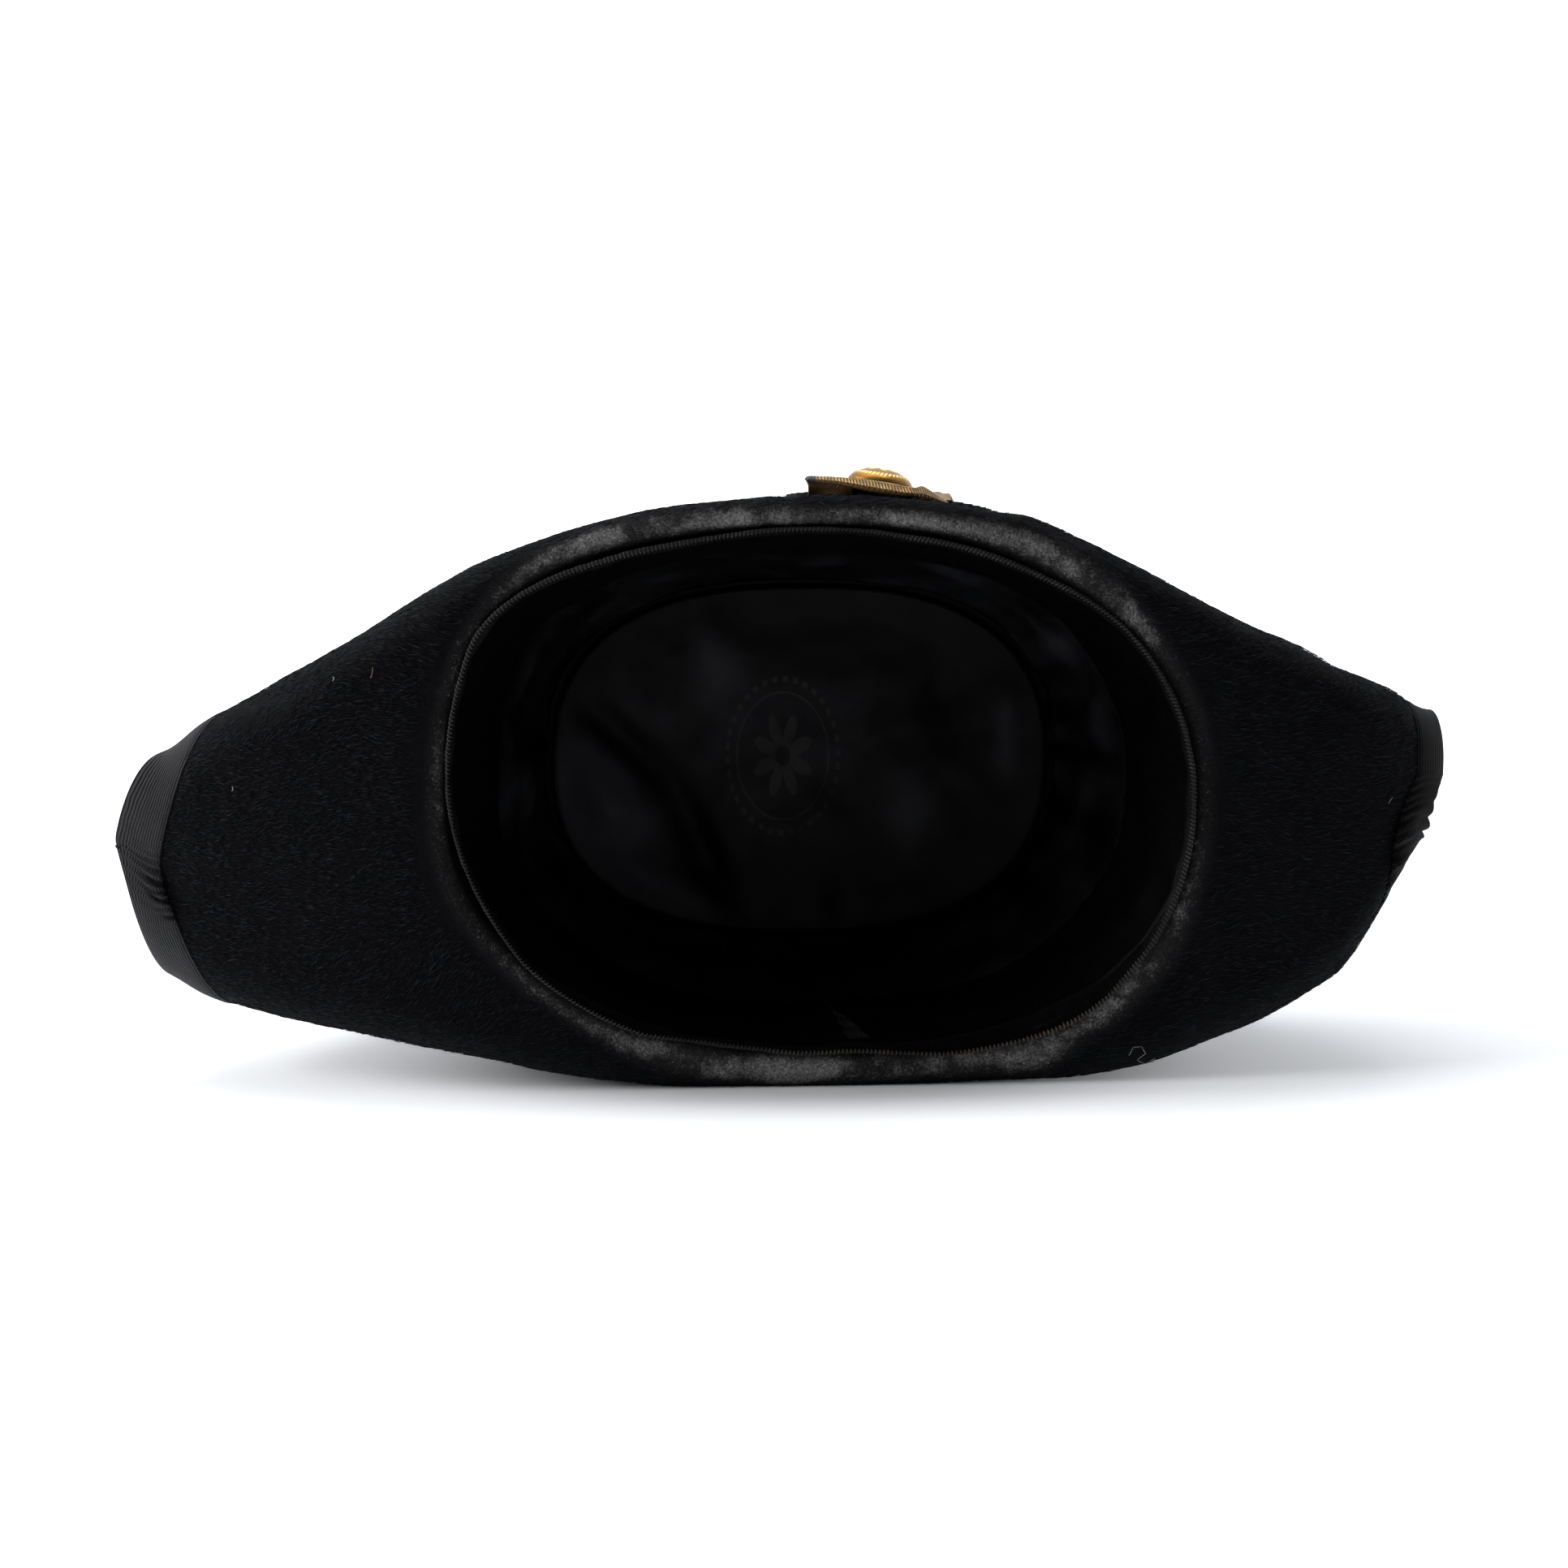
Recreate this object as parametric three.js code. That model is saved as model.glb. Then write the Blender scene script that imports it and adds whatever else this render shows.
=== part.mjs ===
import * as THREE from "three";

// Bicorne hat worn fore and aft, lying on its left leaf. Sizes in millimetres and degrees.
// Hat coordinates: x from the rear point to the front point, s towards the hat's right side,
// h up the crown from the plane of the head opening.

const COLUMNS = 60;
const COLUMN_CROWDING = 10;
const FELT_WALL = 2.4;
const FLOOR_TILT = 4;
const OPENING = { x: 8.12, y: -62.3, z: 81.9 };

// Head opening: the ring where the felt turns from the crown wall into the brim.
const HEADLINE = { halfLength: 107, halfWidth: 76, bend: 4 };
const OVAL = { square: 2.33, skew: 0.25, bulge: 0.17, bulgeAt: 135, deepSquare: 2.5, deepAt: 90 };

// Felt folded up into a hull: one row for each cross section.
// flat: place along the flat felt, keel: rise of the underside, mid: offset of the middle line,
// half: half width at the folds, foldRight and foldLeft: fold radii, lean: leaf angle inwards.
const HULL = [
  { flat: -196, x: -193, keel: 21, mid: -14.5, half: 26.5, foldRight: 17, foldLeft: 17, lean: 9 },
  { flat: -183, x: -180.8, keel: 16, mid: -21.4, half: 31, foldRight: 16, foldLeft: 17, lean: 9 },
  { flat: -171.5, x: -170, keel: 12.3, mid: -20.05, half: 37.85, foldRight: 15, foldLeft: 16, lean: 8.5 },
  { flat: -151, x: -150, keel: 7.5, mid: -17.1, half: 46.3, foldRight: 14, foldLeft: 15, lean: 8 },
  { flat: -131.5, x: -131, keel: 3.8, mid: -13.7, half: 53.7, foldRight: 12, foldLeft: 15, lean: 7 },
  { flat: -113, x: -113, keel: 1.4, mid: -9.65, half: 60.95, foldRight: 11, foldLeft: 14, lean: 6 },
  { flat: -95, x: -95, keel: 0.3, mid: -6.3, half: 67.9, foldRight: 9, foldLeft: 13, lean: 5.4 },
  { flat: -77, x: -77, keel: 0, mid: -4.6, half: 73.5, foldRight: 6.5, foldLeft: 11, lean: 4.8 },
  { flat: -60, x: -60, keel: 0, mid: -3.2, half: 77.2, foldRight: 4.8, foldLeft: 9, lean: 4.4 },
  { flat: -35, x: -35, keel: 0, mid: -1.9, half: 80.5, foldRight: 4.3, foldLeft: 7, lean: 4 },
  { flat: 0, x: 0, keel: 0, mid: -1, half: 82, foldRight: 4.4, foldLeft: 6.2, lean: 4 },
  { flat: 52, x: 52, keel: 0, mid: -3.4, half: 79.2, foldRight: 6, foldLeft: 9, lean: 4 },
  { flat: 70, x: 70, keel: 0, mid: -6.4, half: 75.4, foldRight: 7.5, foldLeft: 11, lean: 4.6 },
  { flat: 88, x: 88, keel: 0.1, mid: -9.5, half: 70, foldRight: 9, foldLeft: 13, lean: 5.2 },
  { flat: 106, x: 106, keel: 0.5, mid: -11.5, half: 62.5, foldRight: 10, foldLeft: 15, lean: 6 },
  { flat: 125, x: 125, keel: 1.8, mid: -12.8, half: 54.3, foldRight: 12, foldLeft: 16, lean: 7 },
  { flat: 144.3, x: 144, keel: 4.6, mid: -11.8, half: 44.6, foldRight: 13, foldLeft: 15, lean: 8 },
  { flat: 155.8, x: 155, keel: 7.6, mid: -7.9, half: 35.5, foldRight: 13, foldLeft: 14, lean: 8.5 },
  { flat: 164.8, x: 163.2, keel: 11.2, mid: -2, half: 25.9, foldRight: 12, foldLeft: 13, lean: 9 },
  { flat: 173.2, x: 170.3, keel: 15.8, mid: 0.8, half: 18.3, foldRight: 12.5, foldLeft: 12.5, lean: 9 },
  { flat: 180.2, x: 175.2, keel: 20.8, mid: 0.6, half: 16.8, foldRight: 13, foldLeft: 13, lean: 9 },
  { flat: 187, x: 178.8, keel: 26.6, mid: 0.4, half: 16.4, foldRight: 13, foldLeft: 13, lean: 9 },
];

// Cut edge of the flat felt, one row for each quarter: how far the point reaches, how far the
// leaf's crest is from the middle line, and how pointed the curve between them is.
const OUTLINE = {
  frontRight: { reach: 182.7, crest: 195, pointed: 1 },
  rearRight: { reach: 196, crest: 195, pointed: 1.55 },
  rearLeft: { reach: 196, crest: 215, pointed: 1.75 },
  frontLeft: { reach: 182.7, crest: 215, pointed: 1.7 },
};

// Inside face of the felt crown, from the end of the crown to the opening.
const CROWN = [
  { h: 97.5, halfLength: 34, halfWidth: 23 },
  { h: 96.6, halfLength: 62, halfWidth: 42 },
  { h: 94.6, halfLength: 71.5, halfWidth: 49.5 },
  { h: 89.5, halfLength: 77, halfWidth: 54.6 },
  { h: 66, halfLength: 85, halfWidth: 62 },
  { h: 36, halfLength: 94, halfWidth: 68.4 },
  { h: 4, halfLength: 103, halfWidth: 72 },
];
const CROWN_TOP = 97.8;
const BEND_STEPS = [30, 62];
const BRIM_STEPS = { underside: [0, 0.5], fold: [0, 0.22, 0.42, 0.62, 0.82], leaf: [0, 0.34, 0.68, 1] };

// Edge ribbon: silk folded over the cut edge.
const RIBBON = { width: 12, thick: 0.7, gap: 0.42, reach: 1.45, pucker: 0.8, puckerReach: 62 };

// Sweatband: outside face of the leather, from the opening to the deep edge.
const BAND = [
  { h: 1.3, halfLength: 102, halfWidth: 71 },
  { h: 18, halfLength: 96.6, halfWidth: 68.2 },
  { h: 40, halfLength: 89.9, halfWidth: 65.1 },
];
const BAND_WALL = 1.2;
const CORD = { halfLength: 102.2, halfWidth: 71.3, h: -0.4, radius: 1.3, sides: 5 };

// Satin wall lining: how far it stays inside the felt, and its rows.
const LINING = { gap: 0.4, wall: 1, rows: [9, 36, 66, 89.5] };
const PLEATS = [
  { at: -14, width: 7, depth: 1.6 },
  { at: -2, width: 4, depth: 1.2 },
  { at: 12, width: 6, depth: 1.4 },
  { at: -38, width: 9, depth: 1.2 },
  { at: 176, width: 4, depth: 1.1 },
  { at: 206, width: 8, depth: 1.2 },
];

// Satin panel in the end of the crown, with its soft folds.
const PANEL = { halfLength: 73.2, halfWidth: 51.2, edge: 90.7, middle: 92.6, wall: 1, columns: 40 };
const PANEL_RINGS = [0.22, 0.45, 0.66, 0.84, 1];
const PUFFS = [
  { x: -47, s: -20, angle: 132, length: 30, width: 11, height: 6.5 },
  { x: -30, s: -33, angle: 150, length: 22, width: 8, height: 4 },
  { x: -38, s: 12, angle: 60, length: 26, width: 10, height: 3 },
  { x: 44, s: 12, angle: 118, length: 24, width: 9, height: 4 },
  { x: 30, s: -22, angle: 200, length: 26, width: 12, height: 2.5 },
];

// Silk cockade, gold lace loop and button on the right leaf.
const COCKADE = { x: 22, rise: 36, radius: 29, lift: 0.4, thick: 1, ridge: 0.4, columns: 32 };
const LOOP = { x: 16.2, slant: 0.13, width: 18.6, slit: 0.7, low: 0.4, lift: 2.5, thick: 1.7, roll: 0.9, taper: 9, clear: 6.5, stand: 28, chamfer: 10 };
const BUTTON = { x: 17.2, rise: 12.5, radius: 9, lift: 4.6, sides: 32 };
const BUTTON_PROFILE = [
  { r: 8.4, z: 0 },
  { r: 9, z: 0.6 },
  { r: 8.7, z: 1.3 },
  { r: 7.6, z: 2.1 },
  { r: 5.4, z: 3.3 },
  { r: 2.7, z: 4.1 },
];
const BUTTON_TOP = 4.4;

const rad = (degrees) => (degrees * Math.PI) / 180;
const mix = (a, b, t) => a + (b - a) * t;
const clamp = (v, low, high) => Math.min(high, Math.max(low, v));

// Smooth curve through the rows of a table, without overshoot between them.
function along(table, by, column, at) {
  const n = table.length;
  const x = clamp(at, table[0][by], table[n - 1][by]);
  let i = 0;
  while (i < n - 2 && x > table[i + 1][by]) {
    i += 1;
  }
  const slope = (k) => (table[k + 1][column] - table[k][column]) / (table[k + 1][by] - table[k][by]);
  const tangent = (k) => {
    if (k === 0 || k === n - 1) {
      return slope(k === 0 ? 0 : n - 2);
    }
    const a = slope(k - 1);
    const b = slope(k);
    return a * b <= 0 ? 0 : (2 * a * b) / (a + b);
  };
  const gap = table[i + 1][by] - table[i][by];
  const t = (x - table[i][by]) / gap;
  const a = table[i][column];
  const b = table[i + 1][column];
  const rise = t * t * (3 - 2 * t);
  const out = t * (1 - t) * (1 - t) * tangent(i) * gap;
  const back = t * t * (t - 1) * tangent(i + 1) * gap;
  return mix(a, b, rise) + out + back;
}

// Oval of the head: a rounded rectangle whose squareness changes round it and with the depth.
function oval(angle, halfLength, halfWidth, depth) {
  const c = Math.cos(rad(angle));
  const s = Math.sin(rad(angle));
  const open = OVAL.square - OVAL.skew * Math.sin(rad(2 * angle)) +
    OVAL.bulge * Math.cos(rad(angle - OVAL.bulgeAt));
  const power = 2 / mix(open, OVAL.deepSquare, clamp(depth / OVAL.deepAt, 0, 1));
  return {
    x: halfLength * Math.sign(c) * Math.abs(c) ** power,
    s: halfWidth * Math.sign(s) * Math.abs(s) ** power,
  };
}

// Point of the outside face for a place on the flat felt: w is measured from the middle line.
function hull(flat, w) {
  const side = w < 0 ? -1 : 1;
  const radius = along(HULL, "flat", side > 0 ? "foldRight" : "foldLeft", flat);
  const start = along(HULL, "flat", "half", flat) - radius;
  const full = rad(90 + along(HULL, "flat", "lean", flat));
  const over = Math.max(0, Math.abs(w) - start);
  const turn = Math.min(full, over / radius);
  const leaf = Math.max(0, over - radius * full);
  const out = Math.min(Math.abs(w), start) + radius * Math.sin(turn) + leaf * Math.cos(full);
  const up = radius * (1 - Math.cos(turn)) + leaf * Math.sin(full);
  return new THREE.Vector3(
    along(HULL, "flat", "x", flat),
    along(HULL, "flat", "mid", flat) + side * out,
    along(HULL, "flat", "keel", flat) + up,
  );
}

function cutEdge(angle) {
  const c = Math.cos(rad(angle));
  const s = Math.sin(rad(angle));
  const quarter = OUTLINE[(c < 0 ? "rear" : "front") + (s < 0 ? "Left" : "Right")];
  return {
    flat: c * quarter.reach,
    w: Math.sign(s) * quarter.crest * Math.abs(s) ** quarter.pointed,
  };
}

// Where a straight line over the flat felt enters and leaves the fold, as shares of its length.
function foldStops(first, edge, limit) {
  const steps = 400;
  let enter = 1;
  let leave = 1;
  for (let k = steps; k >= 0; k -= 1) {
    const t = k / steps;
    const flat = mix(first.flat, edge.flat, t);
    const w = mix(first.w, edge.w, t);
    const radius = along(HULL, "flat", w > 0 ? "foldRight" : "foldLeft", flat);
    const over = Math.abs(w) - along(HULL, "flat", "half", flat) + radius;
    enter = over > 0 ? t : enter;
    leave = over > radius * rad(90 + along(HULL, "flat", "lean", flat)) ? t : leave;
  }
  const start = clamp(enter, 0.02, 0.6 * limit);
  return [start, clamp(leave, start + 0.06, 0.85 * limit)];
}

// Rings of the outside face of the felt on one line from the crown's end to the cut edge.
function feltLine(angle) {
  const line = CROWN.map((row) => {
    const p = oval(angle, row.halfLength, row.halfWidth, row.h);
    return new THREE.Vector3(p.x, p.s, row.h);
  });
  const start = oval(angle, HEADLINE.halfLength, HEADLINE.halfWidth, 0);
  const inner = oval(angle, HEADLINE.halfLength - HEADLINE.bend, HEADLINE.halfWidth - HEADLINE.bend, 0);
  const first = { flat: start.x, w: start.s - along(HULL, "flat", "mid", start.x) };
  const seat = hull(first.flat, first.w);
  BEND_STEPS.forEach((step) => {
    const part = Math.cos(rad(step));
    line.push(new THREE.Vector3(
      mix(seat.x, inner.x, part),
      mix(seat.y, inner.s, part),
      seat.z + HEADLINE.bend * (1 - Math.sin(rad(step))),
    ));
  });
  const edge = cutEdge(angle);
  const length = Math.hypot(edge.flat - first.flat, edge.w - first.w);
  const ribbon = 1 - RIBBON.width / length;
  const [foldStart, foldEnd] = foldStops(first, edge, ribbon);
  const stops = [
    ...BRIM_STEPS.underside.map((step) => step * foldStart),
    ...BRIM_STEPS.fold.map((step) => mix(foldStart, foldEnd, step)),
    ...BRIM_STEPS.leaf.map((step) => mix(foldEnd, ribbon, step)),
    1 - RIBBON.width / 2 / length,
    1,
  ];
  stops.forEach((t) => line.push(hull(mix(first.flat, edge.flat, t), mix(first.w, edge.w, t))));
  return line;
}

// Hat coordinates to the part's frame.
function place(v) {
  const c = Math.cos(rad(FLOOR_TILT));
  const s = Math.sin(rad(FLOOR_TILT));
  return new THREE.Vector3(OPENING.x + v.x, OPENING.y + v.z * c + v.y * s, OPENING.z + v.y * c - v.z * s);
}

// Felt and ribbon lie flat where they meet the surface.
function pressed(v, level) {
  return new THREE.Vector3(v.x, v.y, Math.max(level, v.z));
}

// Unit normals of a grid of rings, by differences, pointing from the outside face into the felt.
function gridNormals(rings) {
  const last = rings.length - 1;
  return rings.map((ring, r) => ring.map((_, c) => {
    const before = ring[(c + COLUMNS - 1) % COLUMNS];
    const after = ring[(c + 1) % COLUMNS];
    const round = after.clone().sub(before);
    const down = rings[Math.min(last, r + 1)][c].clone().sub(rings[Math.max(0, r - 1)][c]);
    return round.cross(down).normalize();
  }));
}

const material = (color, metalness, roughness) =>
  new THREE.MeshStandardMaterial({ color, metalness, roughness });

function solid(name, points, faces, look) {
  const geometry = new THREE.BufferGeometry();
  geometry.setAttribute("position", new THREE.Float32BufferAttribute(points.flatMap((p) => [p.x, p.y, p.z]), 3));
  geometry.setIndex(faces);
  geometry.computeVertexNormals();
  const mesh = new THREE.Mesh(geometry, look);
  mesh.name = name;
  return mesh;
}

// Closed solid whose rings of equal length follow one another, open at both ends and capped with
// a middle point, or joined end to start.
function lofted(name, rings, look, joined, flip) {
  const n = rings[0].length;
  const points = rings.flat();
  const faces = [];
  const add = (a, b, c) => faces.push(...(flip ? [a, c, b] : [a, b, c]));
  const turns = joined ? rings.length : rings.length - 1;
  for (let r = 0; r < turns; r += 1) {
    const next = (r + 1) % rings.length;
    for (let k = 0; k < n; k += 1) {
      const a = r * n + k;
      const b = r * n + ((k + 1) % n);
      const c = next * n + ((k + 1) % n);
      const d = next * n + k;
      add(a, b, c);
      add(a, c, d);
    }
  }
  if (!joined) {
    [0, rings.length - 1].forEach((r) => {
      const middle = rings[r].reduce((sum, p) => sum.add(p), new THREE.Vector3()).divideScalar(n);
      const m = points.push(middle) - 1;
      for (let k = 0; k < n; k += 1) {
        const a = r * n + k;
        const b = r * n + ((k + 1) % n);
        if (r === 0) {
          add(m, b, a);
        } else {
          add(m, a, b);
        }
      }
    });
  }
  return solid(name, points, faces, look);
}

// Lines round the hat, closer together at the two points.
const columns = Array.from({ length: COLUMNS }, (_, k) => {
  const even = (k * 360) / COLUMNS;
  return even - COLUMN_CROWDING * Math.sin(rad(2 * even));
});
const feltColumns = columns.map((angle) => feltLine(angle).map((p, r, line) => {
  const underRibbon = r >= line.length - 3;
  return pressed(place(p), underRibbon ? RIBBON.gap + RIBBON.thick : 0);
}));
const outside = feltColumns[0].map((_, r) => feltColumns.map((line) => line[r]));
const normals = gridNormals(outside);
const offset = (r, c, distance) => outside[r][c].clone().addScaledVector(normals[r][c], distance);
const inside = outside.map((ring, r) => ring.map((_, c) => offset(r, c, FELT_WALL)));

const feltLook = material(0x14161b, 0, 0.92);
const leatherLook = material(0x1d2127, 0, 0.55);
const satinLook = material(0x24272d, 0, 0.4);
const silkLook = material(0x2c2d33, 0, 0.6);
const goldLook = material(0x9a7a3c, 0.7, 0.45);
const giltLook = material(0xc29a45, 1, 0.3);

function feltBody() {
  const topOutside = place(new THREE.Vector3(0, 0, CROWN_TOP));
  const topInside = place(new THREE.Vector3(0, 0, CROWN_TOP + FELT_WALL));
  const points = [...outside.flat(), ...inside.flat(), topOutside, topInside];
  const rings = outside.length;
  const back = rings * COLUMNS;
  const faces = [];
  for (let c = 0; c < COLUMNS; c += 1) {
    const d = (c + 1) % COLUMNS;
    for (let r = 0; r < rings - 1; r += 1) {
      const a = r * COLUMNS + c;
      const b = r * COLUMNS + d;
      const e = a + COLUMNS;
      const f = b + COLUMNS;
      faces.push(a, e, b, b, e, f);
      faces.push(back + a, back + b, back + f, back + a, back + f, back + e);
    }
    const edge = (rings - 1) * COLUMNS;
    faces.push(edge + c, back + edge + c, edge + d, edge + d, back + edge + c, back + edge + d);
    faces.push(2 * back, c, d, 2 * back + 1, back + d, back + c);
  }
  return solid("felt_body", points, faces, feltLook);
}

// Gathers of the ribbon: every second line is drawn up a little where the edge turns round a point.
function pucker(angle, line) {
  const near = clamp(1 - Math.abs(cutEdge(angle).w) / RIBBON.puckerReach, 0, 1);
  return line % 2 ? 0 : RIBBON.pucker * near;
}

function edgeRibbon() {
  const last = outside.length - 1;
  const rows = [last - 2, last - 1, last];
  const rings = columns.map((angle, c) => {
    const wave = pucker(angle, c);
    const beyond = outside[last][c].clone().sub(outside[last - 1][c]).normalize();
    const shorter = outside[rows[1]][c].clone().sub(outside[rows[0]][c]).normalize();
    const at = (r, distance, reach) => pressed(offset(r, c, distance).addScaledVector(beyond, reach), 0);
    const near = RIBBON.gap;
    const far = RIBBON.gap + RIBBON.thick;
    const back = FELT_WALL + near;
    const outer = FELT_WALL + far;
    return [
      at(rows[0], -far, 0).addScaledVector(shorter, wave),
      at(rows[1], -far, 0),
      at(rows[2], -far, RIBBON.reach),
      at(rows[2], outer, RIBBON.reach),
      at(rows[1], outer, 0),
      at(rows[0], outer, 0),
      at(rows[0], back, 0),
      at(rows[1], back, 0),
      at(rows[2], back, RIBBON.reach - RIBBON.thick),
      at(rows[2], -near, RIBBON.reach - RIBBON.thick),
      at(rows[1], -near, 0),
      at(rows[0], -near, 0).addScaledVector(shorter, wave),
    ];
  });
  return lofted("edge_ribbon", rings, silkLook, true, false);
}

// Wall round the head: rows of outside points and, shrunk by the wall, inside points.
function wallRings(rows, wall, dent) {
  return columns.map((angle) => {
    const point = (row, shrink) => {
      const deep = dent ? dent(angle, row.h) : 0;
      const p = oval(angle, row.halfLength - shrink - deep, row.halfWidth - shrink - deep, row.h);
      return place(new THREE.Vector3(p.x, p.s, row.h));
    };
    return [...rows.map((row) => point(row, 0)), ...rows.slice().reverse().map((row) => point(row, wall))];
  });
}

function sweatband() {
  return lofted("sweatband", wallRings(BAND, BAND_WALL), leatherLook, true, false);
}

function bandEdgeCord() {
  const rings = columns.map((angle) => Array.from({ length: CORD.sides }, (_, k) => {
    const turn = rad((k * 360) / CORD.sides);
    const out = CORD.radius * Math.cos(turn);
    const p = oval(angle, CORD.halfLength + out, CORD.halfWidth + out, 0);
    return place(new THREE.Vector3(p.x, p.s, CORD.h + CORD.radius * Math.sin(turn)));
  }));
  return lofted("band_edge_cord", rings, leatherLook, true, false);
}

function pleatDepth(angle, h) {
  const share = clamp((h - 40) / 50, 0, 1);
  return PLEATS.reduce((sum, pleat) => {
    const away = Math.abs(((angle - pleat.at + 540) % 360) - 180) / pleat.width;
    return sum + (away < 1 ? pleat.depth * share * Math.cos(rad(90 * away)) ** 2 : 0);
  }, 0);
}

function sideLining() {
  const rows = LINING.rows.map((h) => ({
    h,
    halfLength: along(CROWN.slice().reverse(), "h", "halfLength", h) - LINING.gap,
    halfWidth: along(CROWN.slice().reverse(), "h", "halfWidth", h) - LINING.gap,
  }));
  return lofted("side_lining", wallRings(rows, LINING.wall, pleatDepth), satinLook, true, false);
}

function puff(x, s) {
  return PUFFS.reduce((sum, row) => {
    const c = Math.cos(rad(row.angle));
    const n = Math.sin(rad(row.angle));
    const u = ((x - row.x) * c + (s - row.s) * n) / row.length;
    const v = ((s - row.s) * c - (x - row.x) * n) / row.width;
    return sum + row.height * Math.exp(-1.6 * (u * u + v * v));
  }, 0);
}

function tipLining() {
  const point = (angle, share, back) => {
    const p = oval(angle, PANEL.halfLength * share, PANEL.halfWidth * share, PANEL.edge);
    const soft = puff(p.x, p.s) * clamp((1 - share) * 5, 0, 1);
    return place(new THREE.Vector3(p.x, p.s, mix(PANEL.middle, PANEL.edge, share ** 4) - soft + back));
  };
  const angles = Array.from({ length: PANEL.columns }, (_, k) => (k * 360) / PANEL.columns);
  const front = PANEL_RINGS.map((share) => angles.map((angle) => point(angle, share, 0)));
  const rear = PANEL_RINGS.map((share) => angles.map((angle) => point(angle, share, PANEL.wall)));
  return lofted("tip_lining", [...front, ...rear.reverse()], satinLook, false, true);
}

// Point on the right leaf's outside face: x along the hat, rise above the fold, lift off the felt.
function onLeaf(x, rise, lift) {
  const radius = along(HULL, "flat", "foldRight", x);
  const start = along(HULL, "flat", "half", x) - radius;
  const w = start + radius * rad(90 + along(HULL, "flat", "lean", x)) + rise;
  const point = hull(x, w);
  const round = hull(x + 1, w).sub(hull(x - 1, w));
  const up = hull(x, w + 0.5).sub(hull(x, w - 0.5));
  const out = up.cross(round).normalize();
  return place(point.addScaledVector(out, lift));
}

function cockade() {
  const angles = Array.from({ length: COCKADE.columns }, (_, k) => (k * 360) / COCKADE.columns);
  const ring = (share, lift, ridge) => angles.map((angle, k) => {
    const r = COCKADE.radius * share;
    const high = lift + (k % 2 ? 0 : ridge);
    return onLeaf(COCKADE.x + r * Math.cos(rad(angle)), COCKADE.rise + r * Math.sin(rad(angle)), high);
  });
  const under = [0.35, 0.7, 1].map((share) => ring(share, COCKADE.lift, 0));
  const over = [1, 0.7, 0.35].map((share) => ring(share, COCKADE.lift + COCKADE.thick, COCKADE.ridge));
  return lofted("cockade", [...under, ...over], silkLook, false, false);
}

function goldLoop() {
  const half = LOOP.slit / 2;
  const wide = half + LOOP.width;
  const top = 88;
  const corner = LOOP.low + LOOP.width;
  const lift = (x, rise) => {
    const away = Math.hypot(x - COCKADE.x, rise - COCKADE.rise) - COCKADE.radius - LOOP.clear;
    const stand = rise < corner ? clamp((LOOP.stand - x) / 12, 0, 1) : 0;
    return mix(LOOP.lift, 0.5, Math.min(clamp(away / LOOP.taper, 0, 1), 1 - stand));
  };
  // Stations down one arm, round the low end and up the other: outer and inner edge of the lace.
  const arm = [top, 78, 66, 50, 35];
  const stations = [
    ...arm.map((rise) => ({ outer: [-wide, rise], inner: [-half, rise], roll: 0 })),
    { outer: [-wide, corner], inner: [-half, corner], roll: 0 },
    { outer: [-wide, LOOP.low + 4], inner: [-half, corner], roll: 0.6 },
    { outer: [4 - wide, LOOP.low], inner: [-half, corner - 0.2], roll: 1 },
    { outer: [0, LOOP.low], inner: [0, corner - 0.4], roll: 1 },
    { outer: [wide - LOOP.chamfer, LOOP.low], inner: [half, corner - 0.2], roll: 1 },
    { outer: [wide, LOOP.low + LOOP.chamfer], inner: [half, corner], roll: 0 },
    { outer: [wide, corner], inner: [half, corner], roll: 0 },
    ...arm.slice().reverse().map((rise) => ({ outer: [wide, rise], inner: [half, rise], roll: 0 })),
  ];
  const rings = stations.map((row) => {
    const at = (share, up) => {
      const rise = mix(row.outer[1], row.inner[1], share);
      const x = LOOP.x + LOOP.slant * rise + mix(row.outer[0], row.inner[0], share);
      return onLeaf(x, rise, lift(x, rise) + up);
    };
    const edge = LOOP.thick + LOOP.roll * row.roll;
    return [at(0, 0), at(1, 0), at(1, LOOP.thick), at(0.25, LOOP.thick), at(0.12, edge), at(0, edge)];
  });
  return lofted("gold_loop", rings, goldLook, false, false);
}

function button() {
  const angles = Array.from({ length: BUTTON.sides }, (_, k) => (k * 360) / BUTTON.sides);
  const base = onLeaf(BUTTON.x, BUTTON.rise, BUTTON.lift);
  const axis = onLeaf(BUTTON.x, BUTTON.rise, BUTTON.lift + 1).sub(base).normalize();
  const east = new THREE.Vector3(1, 0, 0).addScaledVector(axis, -axis.x).normalize();
  const north = axis.clone().cross(east);
  const rings = BUTTON_PROFILE.map((row) => angles.map((angle) => base.clone()
    .addScaledVector(axis, row.z)
    .addScaledVector(east, row.r * Math.cos(rad(angle)))
    .addScaledVector(north, row.r * Math.sin(rad(angle)))));
  const mesh = lofted("button", rings, giltLook, false, false);
  const position = mesh.geometry.getAttribute("position");
  const crown = base.clone().addScaledVector(axis, BUTTON_TOP);
  position.setXYZ(position.count - 1, crown.x, crown.y, crown.z);
  return mesh;
}

const group = new THREE.Group();
group.name = "bicorne_hat";
group.add(
  feltBody(),
  sweatband(),
  bandEdgeCord(),
  sideLining(),
  tipLining(),
  edgeRibbon(),
  cockade(),
  goldLoop(),
  button(),
);

export default group;
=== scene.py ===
"""Bicorne hat of black felt, worn fore and aft, lying on its left leaf.

Sizes are in millimetres and degrees until a mesh is written, which is in metres. Hat coordinates
are x from the rear point to the front point, s towards the hat's right side and h from the head
opening up the crown. HatForm turns them into the frame that the object stands in.
"""

import logging
import math
from dataclasses import dataclass
from enum import Enum

import bpy
import numpy as np
from mathutils import Matrix


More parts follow.
